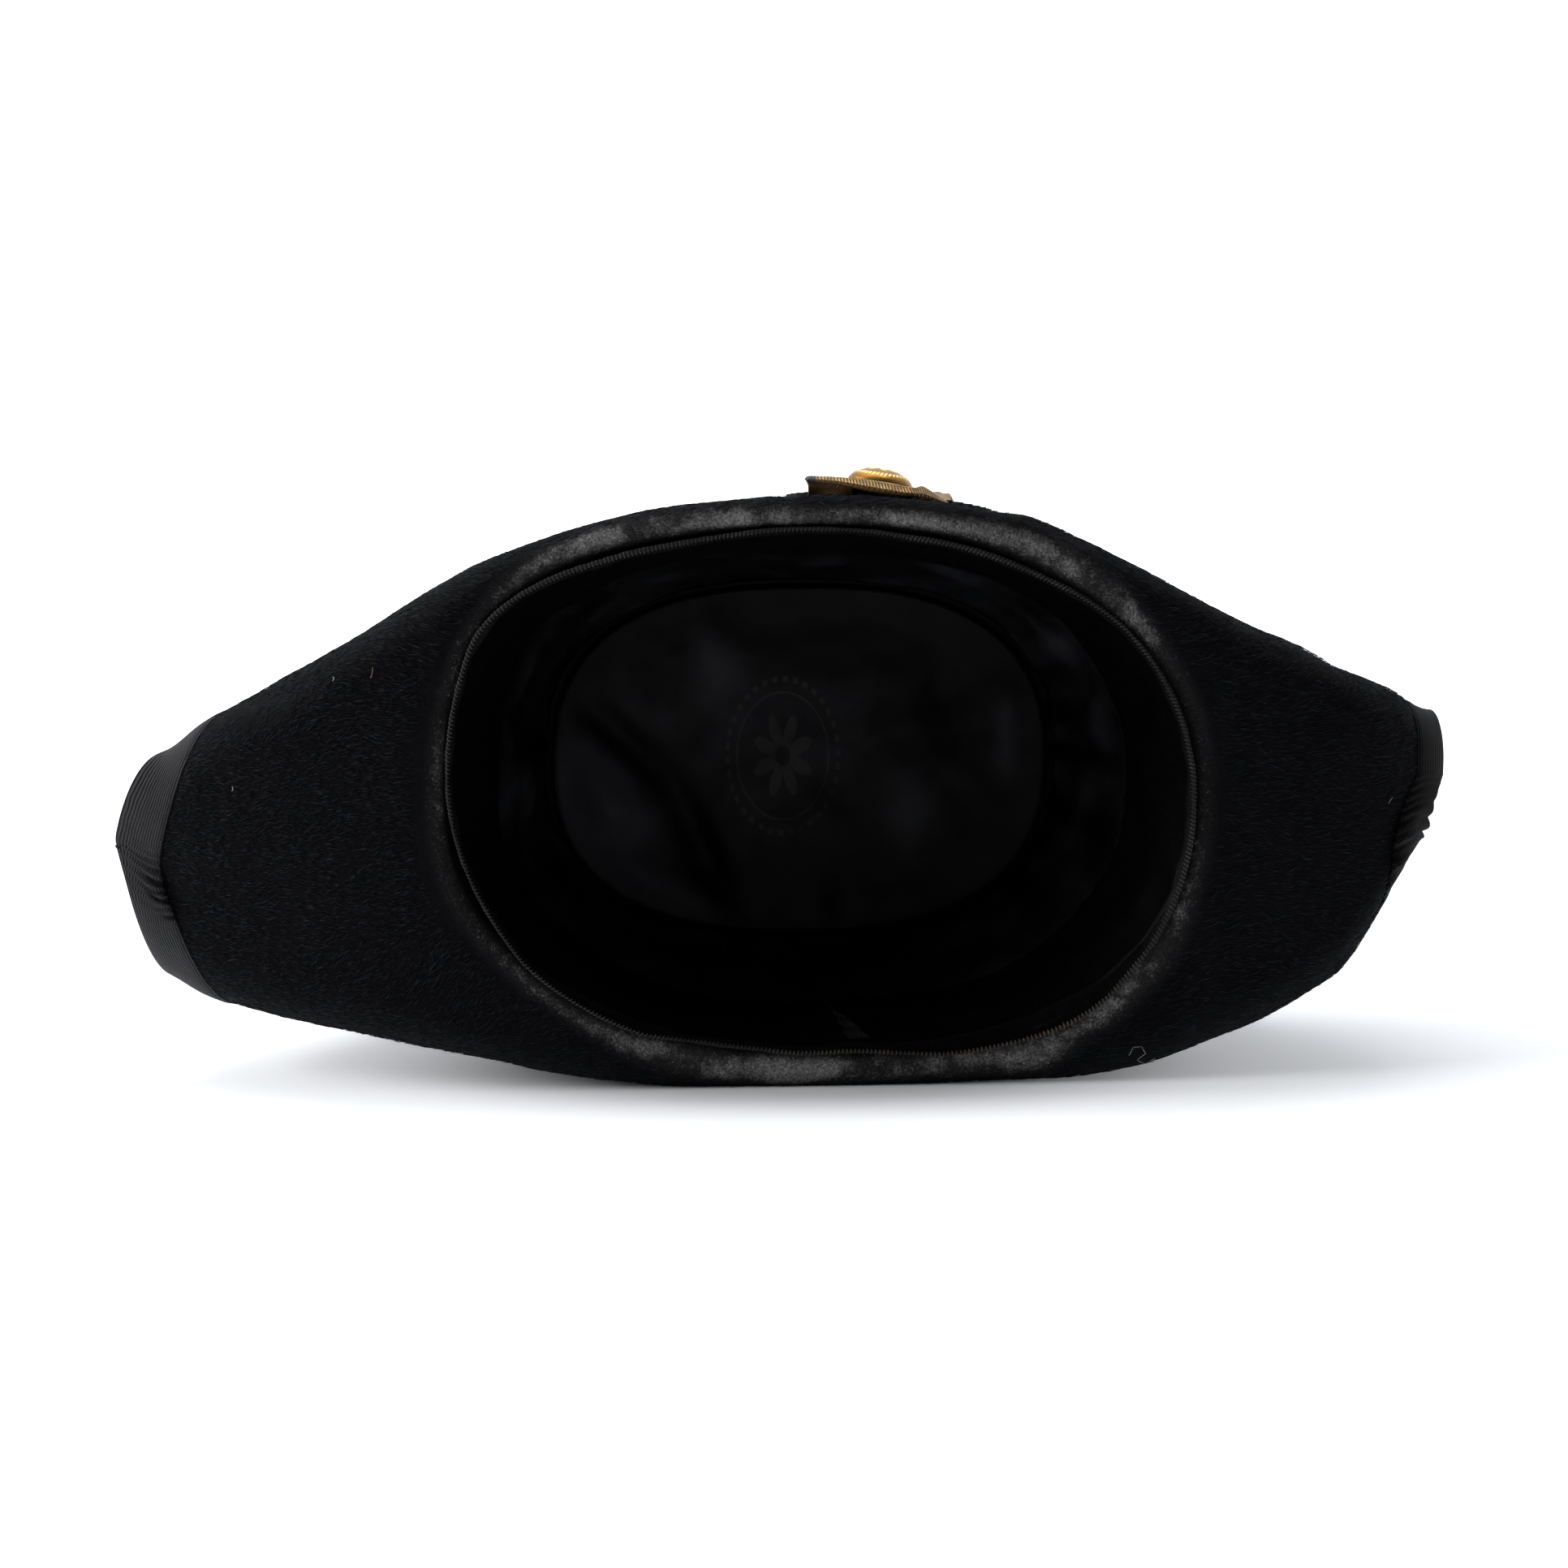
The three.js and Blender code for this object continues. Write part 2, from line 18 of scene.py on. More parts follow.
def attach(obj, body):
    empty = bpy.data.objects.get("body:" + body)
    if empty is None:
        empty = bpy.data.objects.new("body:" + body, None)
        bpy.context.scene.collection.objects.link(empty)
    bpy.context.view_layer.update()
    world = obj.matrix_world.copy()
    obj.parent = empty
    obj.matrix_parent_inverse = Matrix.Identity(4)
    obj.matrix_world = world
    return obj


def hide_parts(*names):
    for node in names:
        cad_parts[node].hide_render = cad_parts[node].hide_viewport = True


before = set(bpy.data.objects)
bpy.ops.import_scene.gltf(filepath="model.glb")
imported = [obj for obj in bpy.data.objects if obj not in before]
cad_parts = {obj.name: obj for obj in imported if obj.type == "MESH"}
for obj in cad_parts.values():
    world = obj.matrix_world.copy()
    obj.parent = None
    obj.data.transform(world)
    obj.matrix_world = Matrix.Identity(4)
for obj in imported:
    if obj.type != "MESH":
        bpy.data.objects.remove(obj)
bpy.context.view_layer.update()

LOG = logging.getLogger("bicorne")
SEED = 1805
MM = 0.001


def smooth(value: np.ndarray, low: float, high: float) -> np.ndarray:
    """Ramp from 0 at low to 1 at high that starts and ends level: 3 t squared less 2 t cubed."""
    t = np.clip((value - low) / (high - low), 0, 1)
    return t * t * (3 - 2 * t)


def unit(vectors: np.ndarray) -> np.ndarray:
    """Vectors divided by their lengths."""
    return vectors / np.maximum(np.linalg.norm(vectors, axis=-1, keepdims=True), 1e-9)


def bell(away: np.ndarray, width: np.ndarray | float) -> np.ndarray:
    """1 in the middle, and e to minus the square of the distance over the width beside it."""
    return np.exp(-((away / width) ** 2))


def angle_from(start: float, angle: np.ndarray) -> np.ndarray:
    """Degrees from a start to an angle, between -180 and 180."""
    return (angle - start + 540) % 360 - 180


def there_and_back(front: np.ndarray, back: np.ndarray) -> np.ndarray:
    """Rings that run over one face and come back over the other."""
    return np.concatenate([front, back[:, ::-1]], axis=1)


class Ripple:
    """Smooth unevenness between about -1 and 1, made of seeded plane waves."""

    def __init__(self, seed: int, length: float, waves: int = 20) -> None:
        """Draws the waves.

        Args:
            seed: number that fixes the draw.
            length: usual wave length in millimetres.
            waves: how many waves are added up.
        """
        rng = np.random.default_rng(seed)
        turn = unit(rng.normal(size=(waves, 3)))
        self.waves = turn * (2 * np.pi / (length * rng.uniform(0.7, 1.6, (waves, 1))))
        self.starts = rng.uniform(0, 2 * np.pi, waves)

    def at(self, points: np.ndarray) -> np.ndarray:
        """Sum of the sines of wave times place plus start, over the root of half their number."""
        total = np.zeros(points.shape[:-1])
        for wave, start in zip(self.waves, self.starts, strict=True):
            total += np.sin(points @ wave + start)
        return total / math.sqrt(len(self.starts) / 2)


@dataclass(frozen=True)
class Table:
    """Rows of named columns, read as smooth curves without overshoot."""

    columns: str
    rows: tuple[tuple[float, ...], ...]

    def column(self, name: str) -> np.ndarray:
        """One column as an array."""
        return np.array([row[self.columns.split().index(name)] for row in self.rows])

    def read(self, by: str, name: str, at: np.ndarray) -> np.ndarray:
        """Reads a column between its rows.

        A cubic joins each two rows. Its slope at a row is the harmonic mean of the slopes on
        either side, or 0 where they turn.

        Args:
            by: column that the places are measured in.
            name: column to read.
            at: places, held to the table's ends.

        Returns:
            The column's value at each place.
        """
        x = self.column(by)
        y = self.column(name)
        at = np.clip(at, x[0], x[-1])
        slope = np.diff(y) / np.diff(x)
        both = slope[:-1] + slope[1:]
        same = slope[:-1] * slope[1:] > 0
        inner = np.where(same, 2 * slope[:-1] * slope[1:] / np.where(same, both, 1), 0)
        tangent = np.concatenate([slope[:1], inner, slope[-1:]])
        i = np.clip(np.searchsorted(x, at, side="left") - 1, 0, len(x) - 2)
        gap = x[i + 1] - x[i]
        t = (at - x[i]) / gap
        rise = y[i] + (y[i + 1] - y[i]) * t * t * (3 - 2 * t)
        return rise + gap * t * (1 - t) * (tangent[i] * (1 - t) - tangent[i + 1] * t)


# Sections of the folded felt, by their place along the flat felt: how far along the hat they
# stand, how high the keel is, how far to the side its middle lies and half its breadth, the
# radii of the folds, and how many degrees the leaves lean out past upright.
HULL = Table(
    "flat x keel mid half fold_right fold_left lean",
    (
        (-196, -193, 21, -14.5, 26.5, 17, 17, 9),
        (-183, -180.8, 16, -21.4, 31, 16, 17, 9),
        (-171.5, -170, 12.3, -20.05, 37.85, 15, 16, 8.5),
        (-151, -150, 7.5, -17.1, 46.3, 14, 15, 8),
        (-131.5, -131, 3.8, -13.7, 53.7, 12, 15, 7),
        (-113, -113, 1.4, -9.65, 60.95, 11, 14, 6),
        (-95, -95, 0.3, -6.3, 67.9, 9, 13, 5.4),
        (-77, -77, 0, -4.6, 73.5, 6.5, 11, 4.8),
        (-60, -60, 0, -3.2, 77.2, 4.8, 9, 4.4),
        (-35, -35, 0, -1.9, 80.5, 4.3, 7, 4),
        (0, 0, 0, -1, 82, 4.4, 6.2, 4),
        (52, 52, 0, -3.4, 79.2, 6, 9, 4),
        (70, 70, 0, -6.4, 75.4, 7.5, 11, 4.6),
        (88, 88, 0.1, -9.5, 70, 9, 13, 5.2),
        (106, 106, 0.5, -11.5, 62.5, 10, 15, 6),
        (125, 125, 1.8, -12.8, 54.3, 12, 16, 7),
        (144.3, 144, 4.6, -11.8, 44.6, 13, 15, 8),
        (155.8, 155, 7.6, -7.9, 35.5, 13, 14, 8.5),
        (164.8, 163.2, 11.2, -2, 25.9, 12, 13, 9),
        (173.2, 170.3, 15.8, 0.8, 18.3, 12.5, 12.5, 9),
        (180.2, 175.2, 20.8, 0.6, 16.8, 13, 13, 9),
        (187, 178.8, 26.6, 0.4, 16.4, 13, 13, 9),
    ),
)
# Ovals of the crown's outside, from the opening to the crown's end.
CROWN = Table(
    "step h half_length half_width",
    (
        (0, 4, 103, 72),
        (1, 36, 94, 68.4),
        (2, 66, 85, 62),
        (3, 89.5, 77, 54.6),
        (4, 94.6, 71.5, 49.5),
        (5, 96.6, 62, 42),
        (6, 97.5, 34, 23),
    ),
)
# Rubbed felt round the head opening, from the front point by way of the right side: how worn it
# is, how far from the opening its middle lies, and how wide it spreads.
WEAR = Table(
    "angle worn centre spread",
    (
        (0, 0.35, -1.5, 2.5),
        (24, 0.5, -1, 2.5),
        (36, 0.8, 0, 3),
        (46, 0.85, 1.6, 4.5),
        (54, 0.85, 2, 4.5),
        (64, 0.75, 0.6, 3.6),
        (76, 0.85, -0.8, 2.8),
        (88, 1, -0.8, 2.8),
        (104, 1, 0.2, 3.4),
        (120, 0.85, 0.2, 3.2),
        (138, 0.5, -0.6, 2.6),
        (150, 0.35, -1, 2),
        (165, 0.5, -2.5, 2.4),
        (190, 0.6, -2.8, 2.8),
        (210, 0.5, -2.2, 2.8),
        (228, 0.45, 1.2, 2),
        (242, 0.75, 2.2, 3),
        (250, 0.95, 1.6, 4.2),
        (264, 1, 1.4, 4.6),
        (278, 0.95, 1.8, 4),
        (290, 0.85, 4, 4),
        (298, 0.8, 5.5, 5),
        (306, 0.65, 3.6, 3.4),
        (318, 0.85, 1.8, 3.4),
        (330, 0.75, 0.8, 3.4),
        (344, 0.45, -0.6, 2.6),
        (360, 0.35, -1.5, 2.5),
    ),
)


@dataclass(frozen=True)
class Quarter:
    """Cut edge of one quarter of the flat felt: reach, crest and how pointed it is."""

    reach: float
    crest: float
    pointed: float


@dataclass(frozen=True)
class HatForm:
    """The felt's outside face: an oval crown, and a flat brim folded up into a hull."""

    front_right: Quarter = Quarter(182.7, 195, 1)
    rear_right: Quarter = Quarter(196, 195, 1.55)
    rear_left: Quarter = Quarter(196, 215, 1.75)
    front_left: Quarter = Quarter(182.7, 215, 1.7)
    head_length: float = 107
    head_width: float = 76
    bend: float = 4
    crowding: float = 10
    tilt: float = 4
    # Middle of the head opening in the object's frame.
    opening: tuple[float, float, float] = (8.12, -62.3, 81.9)
    felt_wall: float = 2.4
    ribbon_width: float = 12
    ribbon_gap: float = 0.42
    ribbon_thick: float = 0.7
    # Where the cut edge draws in below the front point: angle, width and depth.
    nip: tuple[float, float, float] = (349.5, 7.5, 5.4)
    # How square the head's oval is: usually, by how much it skews, and by how much it changes
    # towards one angle. It evens out to the last value over a depth.
    square: float = 2.33
    square_skew: float = 0.25
    square_turn: float = 0.17
    square_at: float = 135
    square_deep: float = 2.5
    square_depth: float = 90

    def columns(self, count: int) -> np.ndarray:
        """Angles round the hat: even ones less 10 degrees times the sine of twice the angle."""
        even = np.arange(count) * 360 / count
        return even - self.crowding * np.sin(np.radians(2 * even))

    def oval(
        self,
        angle: np.ndarray,
        length: np.ndarray | float,
        width: np.ndarray | float,
        depth: np.ndarray | float,
    ) -> tuple[np.ndarray, np.ndarray]:
        """Oval of the head.

        A rounded rectangle: the cosine and the sine are raised to 2 over the squareness, which
        changes round the opening and evens out with the depth.

        Args:
            angle: angles in degrees from the front point towards the right side.
            length: half lengths.
            width: half widths.
            depth: heights above the opening.

        Returns:
            The x and the s of each point.
        """
        c = np.cos(np.radians(angle))
        s = np.sin(np.radians(angle))
        square = (
            self.square
            - self.square_skew * np.sin(np.radians(2 * angle))
            + self.square_turn * np.cos(np.radians(angle - self.square_at))
        )
        deep = np.clip(depth / self.square_depth, 0, 1)
        power = 2 / (square + (self.square_deep - square) * deep)
        return length * np.sign(c) * np.abs(c) ** power, width * np.sign(s) * np.abs(s) ** power

    def ring(
        self,
        angle: np.ndarray,
        length: np.ndarray | float,
        width: np.ndarray | float,
        h: np.ndarray | float,
        depth: float | None = None,
    ) -> np.ndarray:
        """Points of an oval at a height, which also sets its squareness unless a depth does."""
        x, s = self.oval(angle, length, width, h if depth is None else depth)
        return np.stack(np.broadcast_arrays(x, s, h), axis=-1)

    def hull(self, flat: np.ndarray, w: np.ndarray) -> np.ndarray:
        """Folds a place on the flat felt into the hull.

        Level up to the fold, then round an arc of the fold's radius to 90 degrees and the lean,
        then straight along the leaf.

        Args:
            flat: places along the felt.
            w: distances from the middle line, towards the right side.

        Returns:
            Points in hat coordinates.
        """
        side = np.where(w < 0, -1.0, 1.0)
        right = HULL.read("flat", "fold_right", flat)
        left = HULL.read("flat", "fold_left", flat)
        radius = np.where(w < 0, left, right)
        start = HULL.read("flat", "half", flat) - radius
        full = np.radians(90 + HULL.read("flat", "lean", flat))
        over = np.maximum(0, np.abs(w) - start)
        turn = np.minimum(full, over / radius)
        leaf = np.maximum(0, over - radius * full)
        out = np.minimum(np.abs(w), start) + radius * np.sin(turn) + leaf * np.cos(full)
        up = radius * (1 - np.cos(turn)) + leaf * np.sin(full)
        x = HULL.read("flat", "x", flat)
        mid = HULL.read("flat", "mid", flat)
        keel = HULL.read("flat", "keel", flat)
        return np.stack([x, mid + side * out, keel + up], axis=-1)

    def hull_frame(
        self, flat: np.ndarray, w: np.ndarray
    ) -> tuple[np.ndarray, np.ndarray, np.ndarray]:
        """Unit vectors along the felt, across it and into it, from differences of 1 mm."""
        along = unit(self.hull(flat + 0.5, w) - self.hull(flat - 0.5, w))
        across = unit(self.hull(flat, w + 0.5) - self.hull(flat, w - 0.5))
        return along, across, unit(np.cross(along, across))

    def cut_edge(self, angle: np.ndarray) -> tuple[np.ndarray, np.ndarray]:
        """Cut edge: reach times the cosine less the nip, and crest times a power of the sine."""
        c = np.cos(np.radians(angle))
        s = np.sin(np.radians(angle))
        quarters = [self.front_right, self.rear_right, self.rear_left, self.front_left]
        which = np.where(s < 0, np.where(c < 0, 2, 3), np.where(c < 0, 1, 0))
        reach = np.array([q.reach for q in quarters])[which]
        crest = np.array([q.crest for q in quarters])[which]
        pointed = np.array([q.pointed for q in quarters])[which]
        at, width, depth = self.nip
        flat = c * reach - depth * bell(angle_from(at, angle), width)
        return flat, np.sign(s) * crest * np.abs(s) ** pointed

    def brim_line(self, angle: np.ndarray) -> tuple[np.ndarray, np.ndarray, np.ndarray]:
        """Ends of each straight line over the flat brim, as flat and w, and its length."""
        x, s = self.oval(angle, self.head_length, self.head_width, 0)
        first = np.stack([x, s - HULL.read("flat", "mid", x)], axis=-1)
        edge = np.stack(self.cut_edge(angle), axis=-1)
        return first, edge, np.linalg.norm(edge - first, axis=-1)

    def fold_stops(self, angle: np.ndarray) -> tuple[np.ndarray, np.ndarray]:
        """Where each line enters and leaves the fold, as shares of it, from 401 samples."""
        first, edge, length = self.brim_line(angle)
        t = np.linspace(0, 1, 401)[:, None]
        flat = first[:, 0] + (edge - first)[:, 0] * t
        w = first[:, 1] + (edge - first)[:, 1] * t
        right = HULL.read("flat", "fold_right", flat)
        left = HULL.read("flat", "fold_left", flat)
        radius = np.where(w > 0, right, left)
        over = np.abs(w) - HULL.read("flat", "half", flat) + radius
        full = radius * np.radians(90 + HULL.read("flat", "lean", flat))
        limit = 1 - self.ribbon_width / length
        enter = np.where((over > 0).any(0), t[np.argmax(over > 0, 0), 0], 1)
        leave = np.where((over > full).any(0), t[np.argmax(over > full, 0), 0], 1)
        start = np.clip(enter, 0.02, 0.6 * limit)
        return start, np.maximum(start + 0.06, np.minimum(leave, 0.85 * limit))

    def brim(self, angle: np.ndarray, to_edge: np.ndarray) -> tuple[np.ndarray, ...]:
        """Surface near the cut edge.

        Args:
            angle: one angle for each line.
            to_edge: distances from the cut edge along the line, which broadcast with the angles.

        Returns:
            Points, unit vectors towards the edge and unit vectors into the felt, in hat
            coordinates.
        """
        first, edge, length = self.brim_line(angle)
        share = 1 - to_edge / length
        flat = first[:, 0] + (edge - first)[:, 0] * share
        w = first[:, 1] + (edge - first)[:, 1] * share
        points = self.hull(flat, w)
        step = (edge - first) / length[:, None]
        ahead = self.hull(flat + step[:, 0], w + step[:, 1])
        return points, unit(ahead - points), self.hull_frame(flat, w)[2]

    def place(self, points: np.ndarray) -> np.ndarray:
        """Turns hat coordinates by the tilt and moves them to the object's frame."""
        c = math.cos(math.radians(self.tilt))
        s = math.sin(math.radians(self.tilt))
        x, across, h = points[..., 0], points[..., 1], points[..., 2]
        ox, oy, oz = self.opening
        return np.stack([ox + x, oy + h * c + across * s, oz + across * c - h * s], axis=-1)

    def on_leaf(self, x: np.ndarray, rise: np.ndarray, lift: np.ndarray) -> np.ndarray:
        """Point over the right leaf: x along the hat, rise above the fold, lift off the felt."""
        x, rise, lift = np.broadcast_arrays(*(np.asarray(v, float) for v in (x, rise, lift)))
        radius = HULL.read("flat", "fold_right", x)
        lean = HULL.read("flat", "lean", x)
        w = HULL.read("flat", "half", x) - radius + radius * np.radians(90 + lean) + rise
        return self.place(self.hull(x, w) - self.hull_frame(x, w)[2] * lift[..., None])


FORM = HatForm()


def quads(rows: int, columns: int, join_rows: bool, join_columns: bool) -> np.ndarray:
    """Four-sided faces of a grid.

    Args:
        rows: how many rows of points.
        columns: how many points in a row.
        join_rows: whether the last row meets the first.
        join_columns: whether each row closes on itself.

    Returns:
        Indices, one row for each face: here, next column, next row and column, next row.
    """
    r = np.arange(rows if join_rows else rows - 1)[:, None]
    k = np.arange(columns if join_columns else columns - 1)[None, :]
    after, beside = (r + 1) % rows, (k + 1) % columns
    corners = [r * columns + k, r * columns + beside, after * columns + beside, after * columns + k]
    return np.stack([c + 0 * (r + k) for c in corners], axis=-1).reshape(-1, 4)


class Shape:
    """Points, faces and marks gathered for one piece, in millimetres."""

    def __init__(self) -> None:
        """Starts empty."""
        self.points: list[np.ndarray] = []
        self.faces: list[np.ndarray] = []
        self.marks: dict[str, list[np.ndarray]] = {}
        self.count = 0

    def add(self, points: np.ndarray, faces: list[np.ndarray], **marks: np.ndarray) -> None:
        """Adds points with their faces.

        Args:
            points: places, of any grid shape.
            faces: arrays of indices into these points, three or four to a face.
            marks: values at the points that the finish reads by name.
        """
        flat = points.reshape(-1, 3)
        self.points.append(flat)
        self.faces.extend(f + self.count for f in faces)
        for name, value in marks.items():
            full = np.broadcast_to(value, points.shape[:-1]).reshape(-1)
            self.marks.setdefault(name, []).append(full)
        self.count += len(flat)

    def loft(
        self, rings: np.ndarray, joined: bool, flip: bool = False, **marks: np.ndarray
    ) -> None:
        """Adds a closed body whose closed rings follow one another.

        Args:
            rings: rings by points by three.
            joined: whether the last ring meets the first; if not, both ends are closed with a
                middle point.
            flip: turns every face over.
            marks: values at the ring points.
        """
        count, around = rings.shape[:2]
        faces = [quads(count, around, joined, True)]
        points = rings.reshape(-1, 3)
        marks = {n: np.broadcast_to(v, rings.shape[:2]).reshape(-1) for n, v in marks.items()}
        if not joined:
            ends = np.stack([rings[0].mean(0), rings[-1].mean(0)])
            k = np.arange(around)
            beside = (k + 1) % around
            low, high = np.full(around, len(points)), np.full(around, len(points) + 1)
            last = (count - 1) * around
            faces.append(np.stack([low, beside, k], axis=-1))
            faces.append(np.stack([high, last + k, last + beside], axis=-1))
            points = np.concatenate([points, ends])
            marks = {n: np.append(v, [v[0], v[-1]]) for n, v in marks.items()}
        self.add(points, [f[:, ::-1] if flip else f for f in faces], **marks)

    def build(self, name: str, material: bpy.types.Material) -> bpy.types.Object:
        """Makes the piece's object.

        Args:
            name: the piece's name.
            material: its finish.

        Returns:
            The object, at the origin, with its place in its mesh.
        """
        points = np.concatenate(self.points) * MM
        loops = np.concatenate([f.reshape(-1) for f in self.faces])
        sizes = np.concatenate([np.full(len(f), f.shape[1]) for f in self.faces])
        starts = np.concatenate([[0], np.cumsum(sizes)[:-1]])
        mesh = bpy.data.meshes.new(name)
        mesh.vertices.add(len(points))
        mesh.vertices.foreach_set("co", points.astype(np.float32).reshape(-1))
        mesh.loops.add(len(loops))
        mesh.loops.foreach_set("vertex_index", loops.astype(np.int32))
        mesh.polygons.add(len(sizes))
        mesh.polygons.foreach_set("loop_start", starts.astype(np.int32))
        for mark, values in self.marks.items():
            data = mesh.attributes.new(mark, "FLOAT", "POINT").data
            data.foreach_set("value", np.concatenate(values).astype(np.float32))
        mesh.update(calc_edges=True)
        mesh.validate()
        mesh.shade_smooth()
        piece = bpy.data.objects.new(name, mesh)
        bpy.context.scene.collection.objects.link(piece)
        piece.data.materials.append(material)
        return piece


def tube(path: np.ndarray, radius: float, sides: int = 5) -> np.ndarray:
    """Rings of a round thread along an open path.

    Each ring stands square to the path: its points are the path plus the radius times the
    cosine and sine of even angles along two cross directions.

    Args:
        path: points along the thread.
        radius: its radius.
        sides: points in each ring.

    Returns:
        Rings by points by three.
    """
    ahead = unit(np.gradient(path, axis=0))
    up = np.where(np.abs(ahead[:, 2:]) > 0.9, [[1.0, 0, 0]], [[0, 0, 1.0]])
    first = unit(np.cross(ahead, up))
    second = np.cross(ahead, first)
    turn = np.linspace(0, 2 * np.pi, sides, endpoint=False)[None, :, None]
    ring = first[:, None] * np.cos(turn) + second[:, None] * np.sin(turn)
    return path[:, None] + ring * radius


class Pattern(Enum):
    """Kinds of pattern that a finish is varied with."""

    CLOUD = "ShaderNodeTexNoise"
    CELLS = "ShaderNodeTexVoronoi"


class Number:
    """Number socket that takes part in sums; each sign adds one Math node."""

    def __init__(self, shader: "NodeWork", socket: bpy.types.NodeSocket) -> None:
        """Wraps a socket of the shader."""
        self.shader = shader
        self.socket = socket

    def _math(self, operation: str, *values: "Number | float") -> "Number":
        """Adds a Math node with the values in its sockets."""
        settings = {"operation": operation}
        return Number(
            self.shader, self.shader.node("ShaderNodeMath", settings, dict(enumerate(values)))
        )

    def __add__(self, other: "Number | float") -> "Number":
        """Sum."""
        return self._math("ADD", self, other)

    def __radd__(self, other: float) -> "Number":
        """Sum with the number first."""
        return self._math("ADD", other, self)

    def __sub__(self, other: "Number | float") -> "Number":
        """Difference."""
        return self._math("SUBTRACT", self, other)

    def __rsub__(self, other: float) -> "Number":
        """Difference with the number first."""
        return self._math("SUBTRACT", other, self)

    def __mul__(self, other: "Number | float") -> "Number":
        """Product."""
        return self._math("MULTIPLY", self, other)

    def __rmul__(self, other: float) -> "Number":
        """Product with the number first."""
        return self._math("MULTIPLY", other, self)

    def __truediv__(self, other: "Number | float") -> "Number":
        """Quotient."""
        return self._math("DIVIDE", self, other)

    def __pow__(self, other: "Number | float") -> "Number":
        """Power."""
        return self._math("POWER", self, other)

    def sine(self) -> "Number":
        """Sine of an angle in radians."""
        return self._math("SINE", self)

    def size(self) -> "Number":
        """The number without its sign."""
        return self._math("ABSOLUTE", self)

    def least(self, other: "Number | float") -> "Number":
        """The smaller of two."""
        return self._math("MINIMUM", self, other)

    def fold(self, length: float) -> "Number":
        """The number led back and forth between 0 and a length."""
        return self._math("PINGPONG", self, length)

    def angle(self, other: "Number | float") -> "Number":
        """Angle in radians of the point whose sides are this and the other."""
        return self._math("ARCTAN2", self, other)

    def ramp(self, low: float, high: float) -> "Number":
        """0 below low and 1 above high, smooth between them."""
        settings = {"interpolation_type": "SMOOTHSTEP"}
        inputs = {"Value": self, "From Min": low, "From Max": high}
        return Number(self.shader, self.shader.node("ShaderNodeMapRange", settings, inputs))


class NodeWork:
    """Nodes of one tree, of a material or of the world."""

    def __init__(self, owner: bpy.types.Material | bpy.types.World) -> None:
        """Takes the tree of its owner."""
        owner.use_nodes = True
        self.nodes = owner.node_tree.nodes
        self.links = owner.node_tree.links

    def node(
        self,
        kind: str,
        settings: dict[str, object],
        inputs: dict[str | int, object],
        output: str | int = 0,
    ) -> bpy.types.NodeSocket:
        """Adds a node.

        Args:
            kind: the node's type.
            settings: its own values, which are set first.
            inputs: values or links of its sockets.
            output: which output is wanted.

        Returns:
            The output socket.
        """
        node = self.nodes.new(kind)
        for name, value in settings.items():
            setattr(node, name, value)
        for name, value in inputs.items():
            self.feed(node.inputs[name], value)
        return node.outputs[output]

    def feed(self, socket: bpy.types.NodeSocket, value: object) -> None:
        """Links a socket to a Number or another socket, or sets its value."""
        source = value.socket if isinstance(value, Number) else value
        if isinstance(source, bpy.types.NodeSocket):
            self.links.new(source, socket)
        else:
            socket.default_value = source

    def axis(self, vector: bpy.types.NodeSocket, which: str) -> Number:
        """One of a vector's X, Y and Z."""
        return Number(self, self.node("ShaderNodeSeparateXYZ", {}, {"Vector": vector}, which))


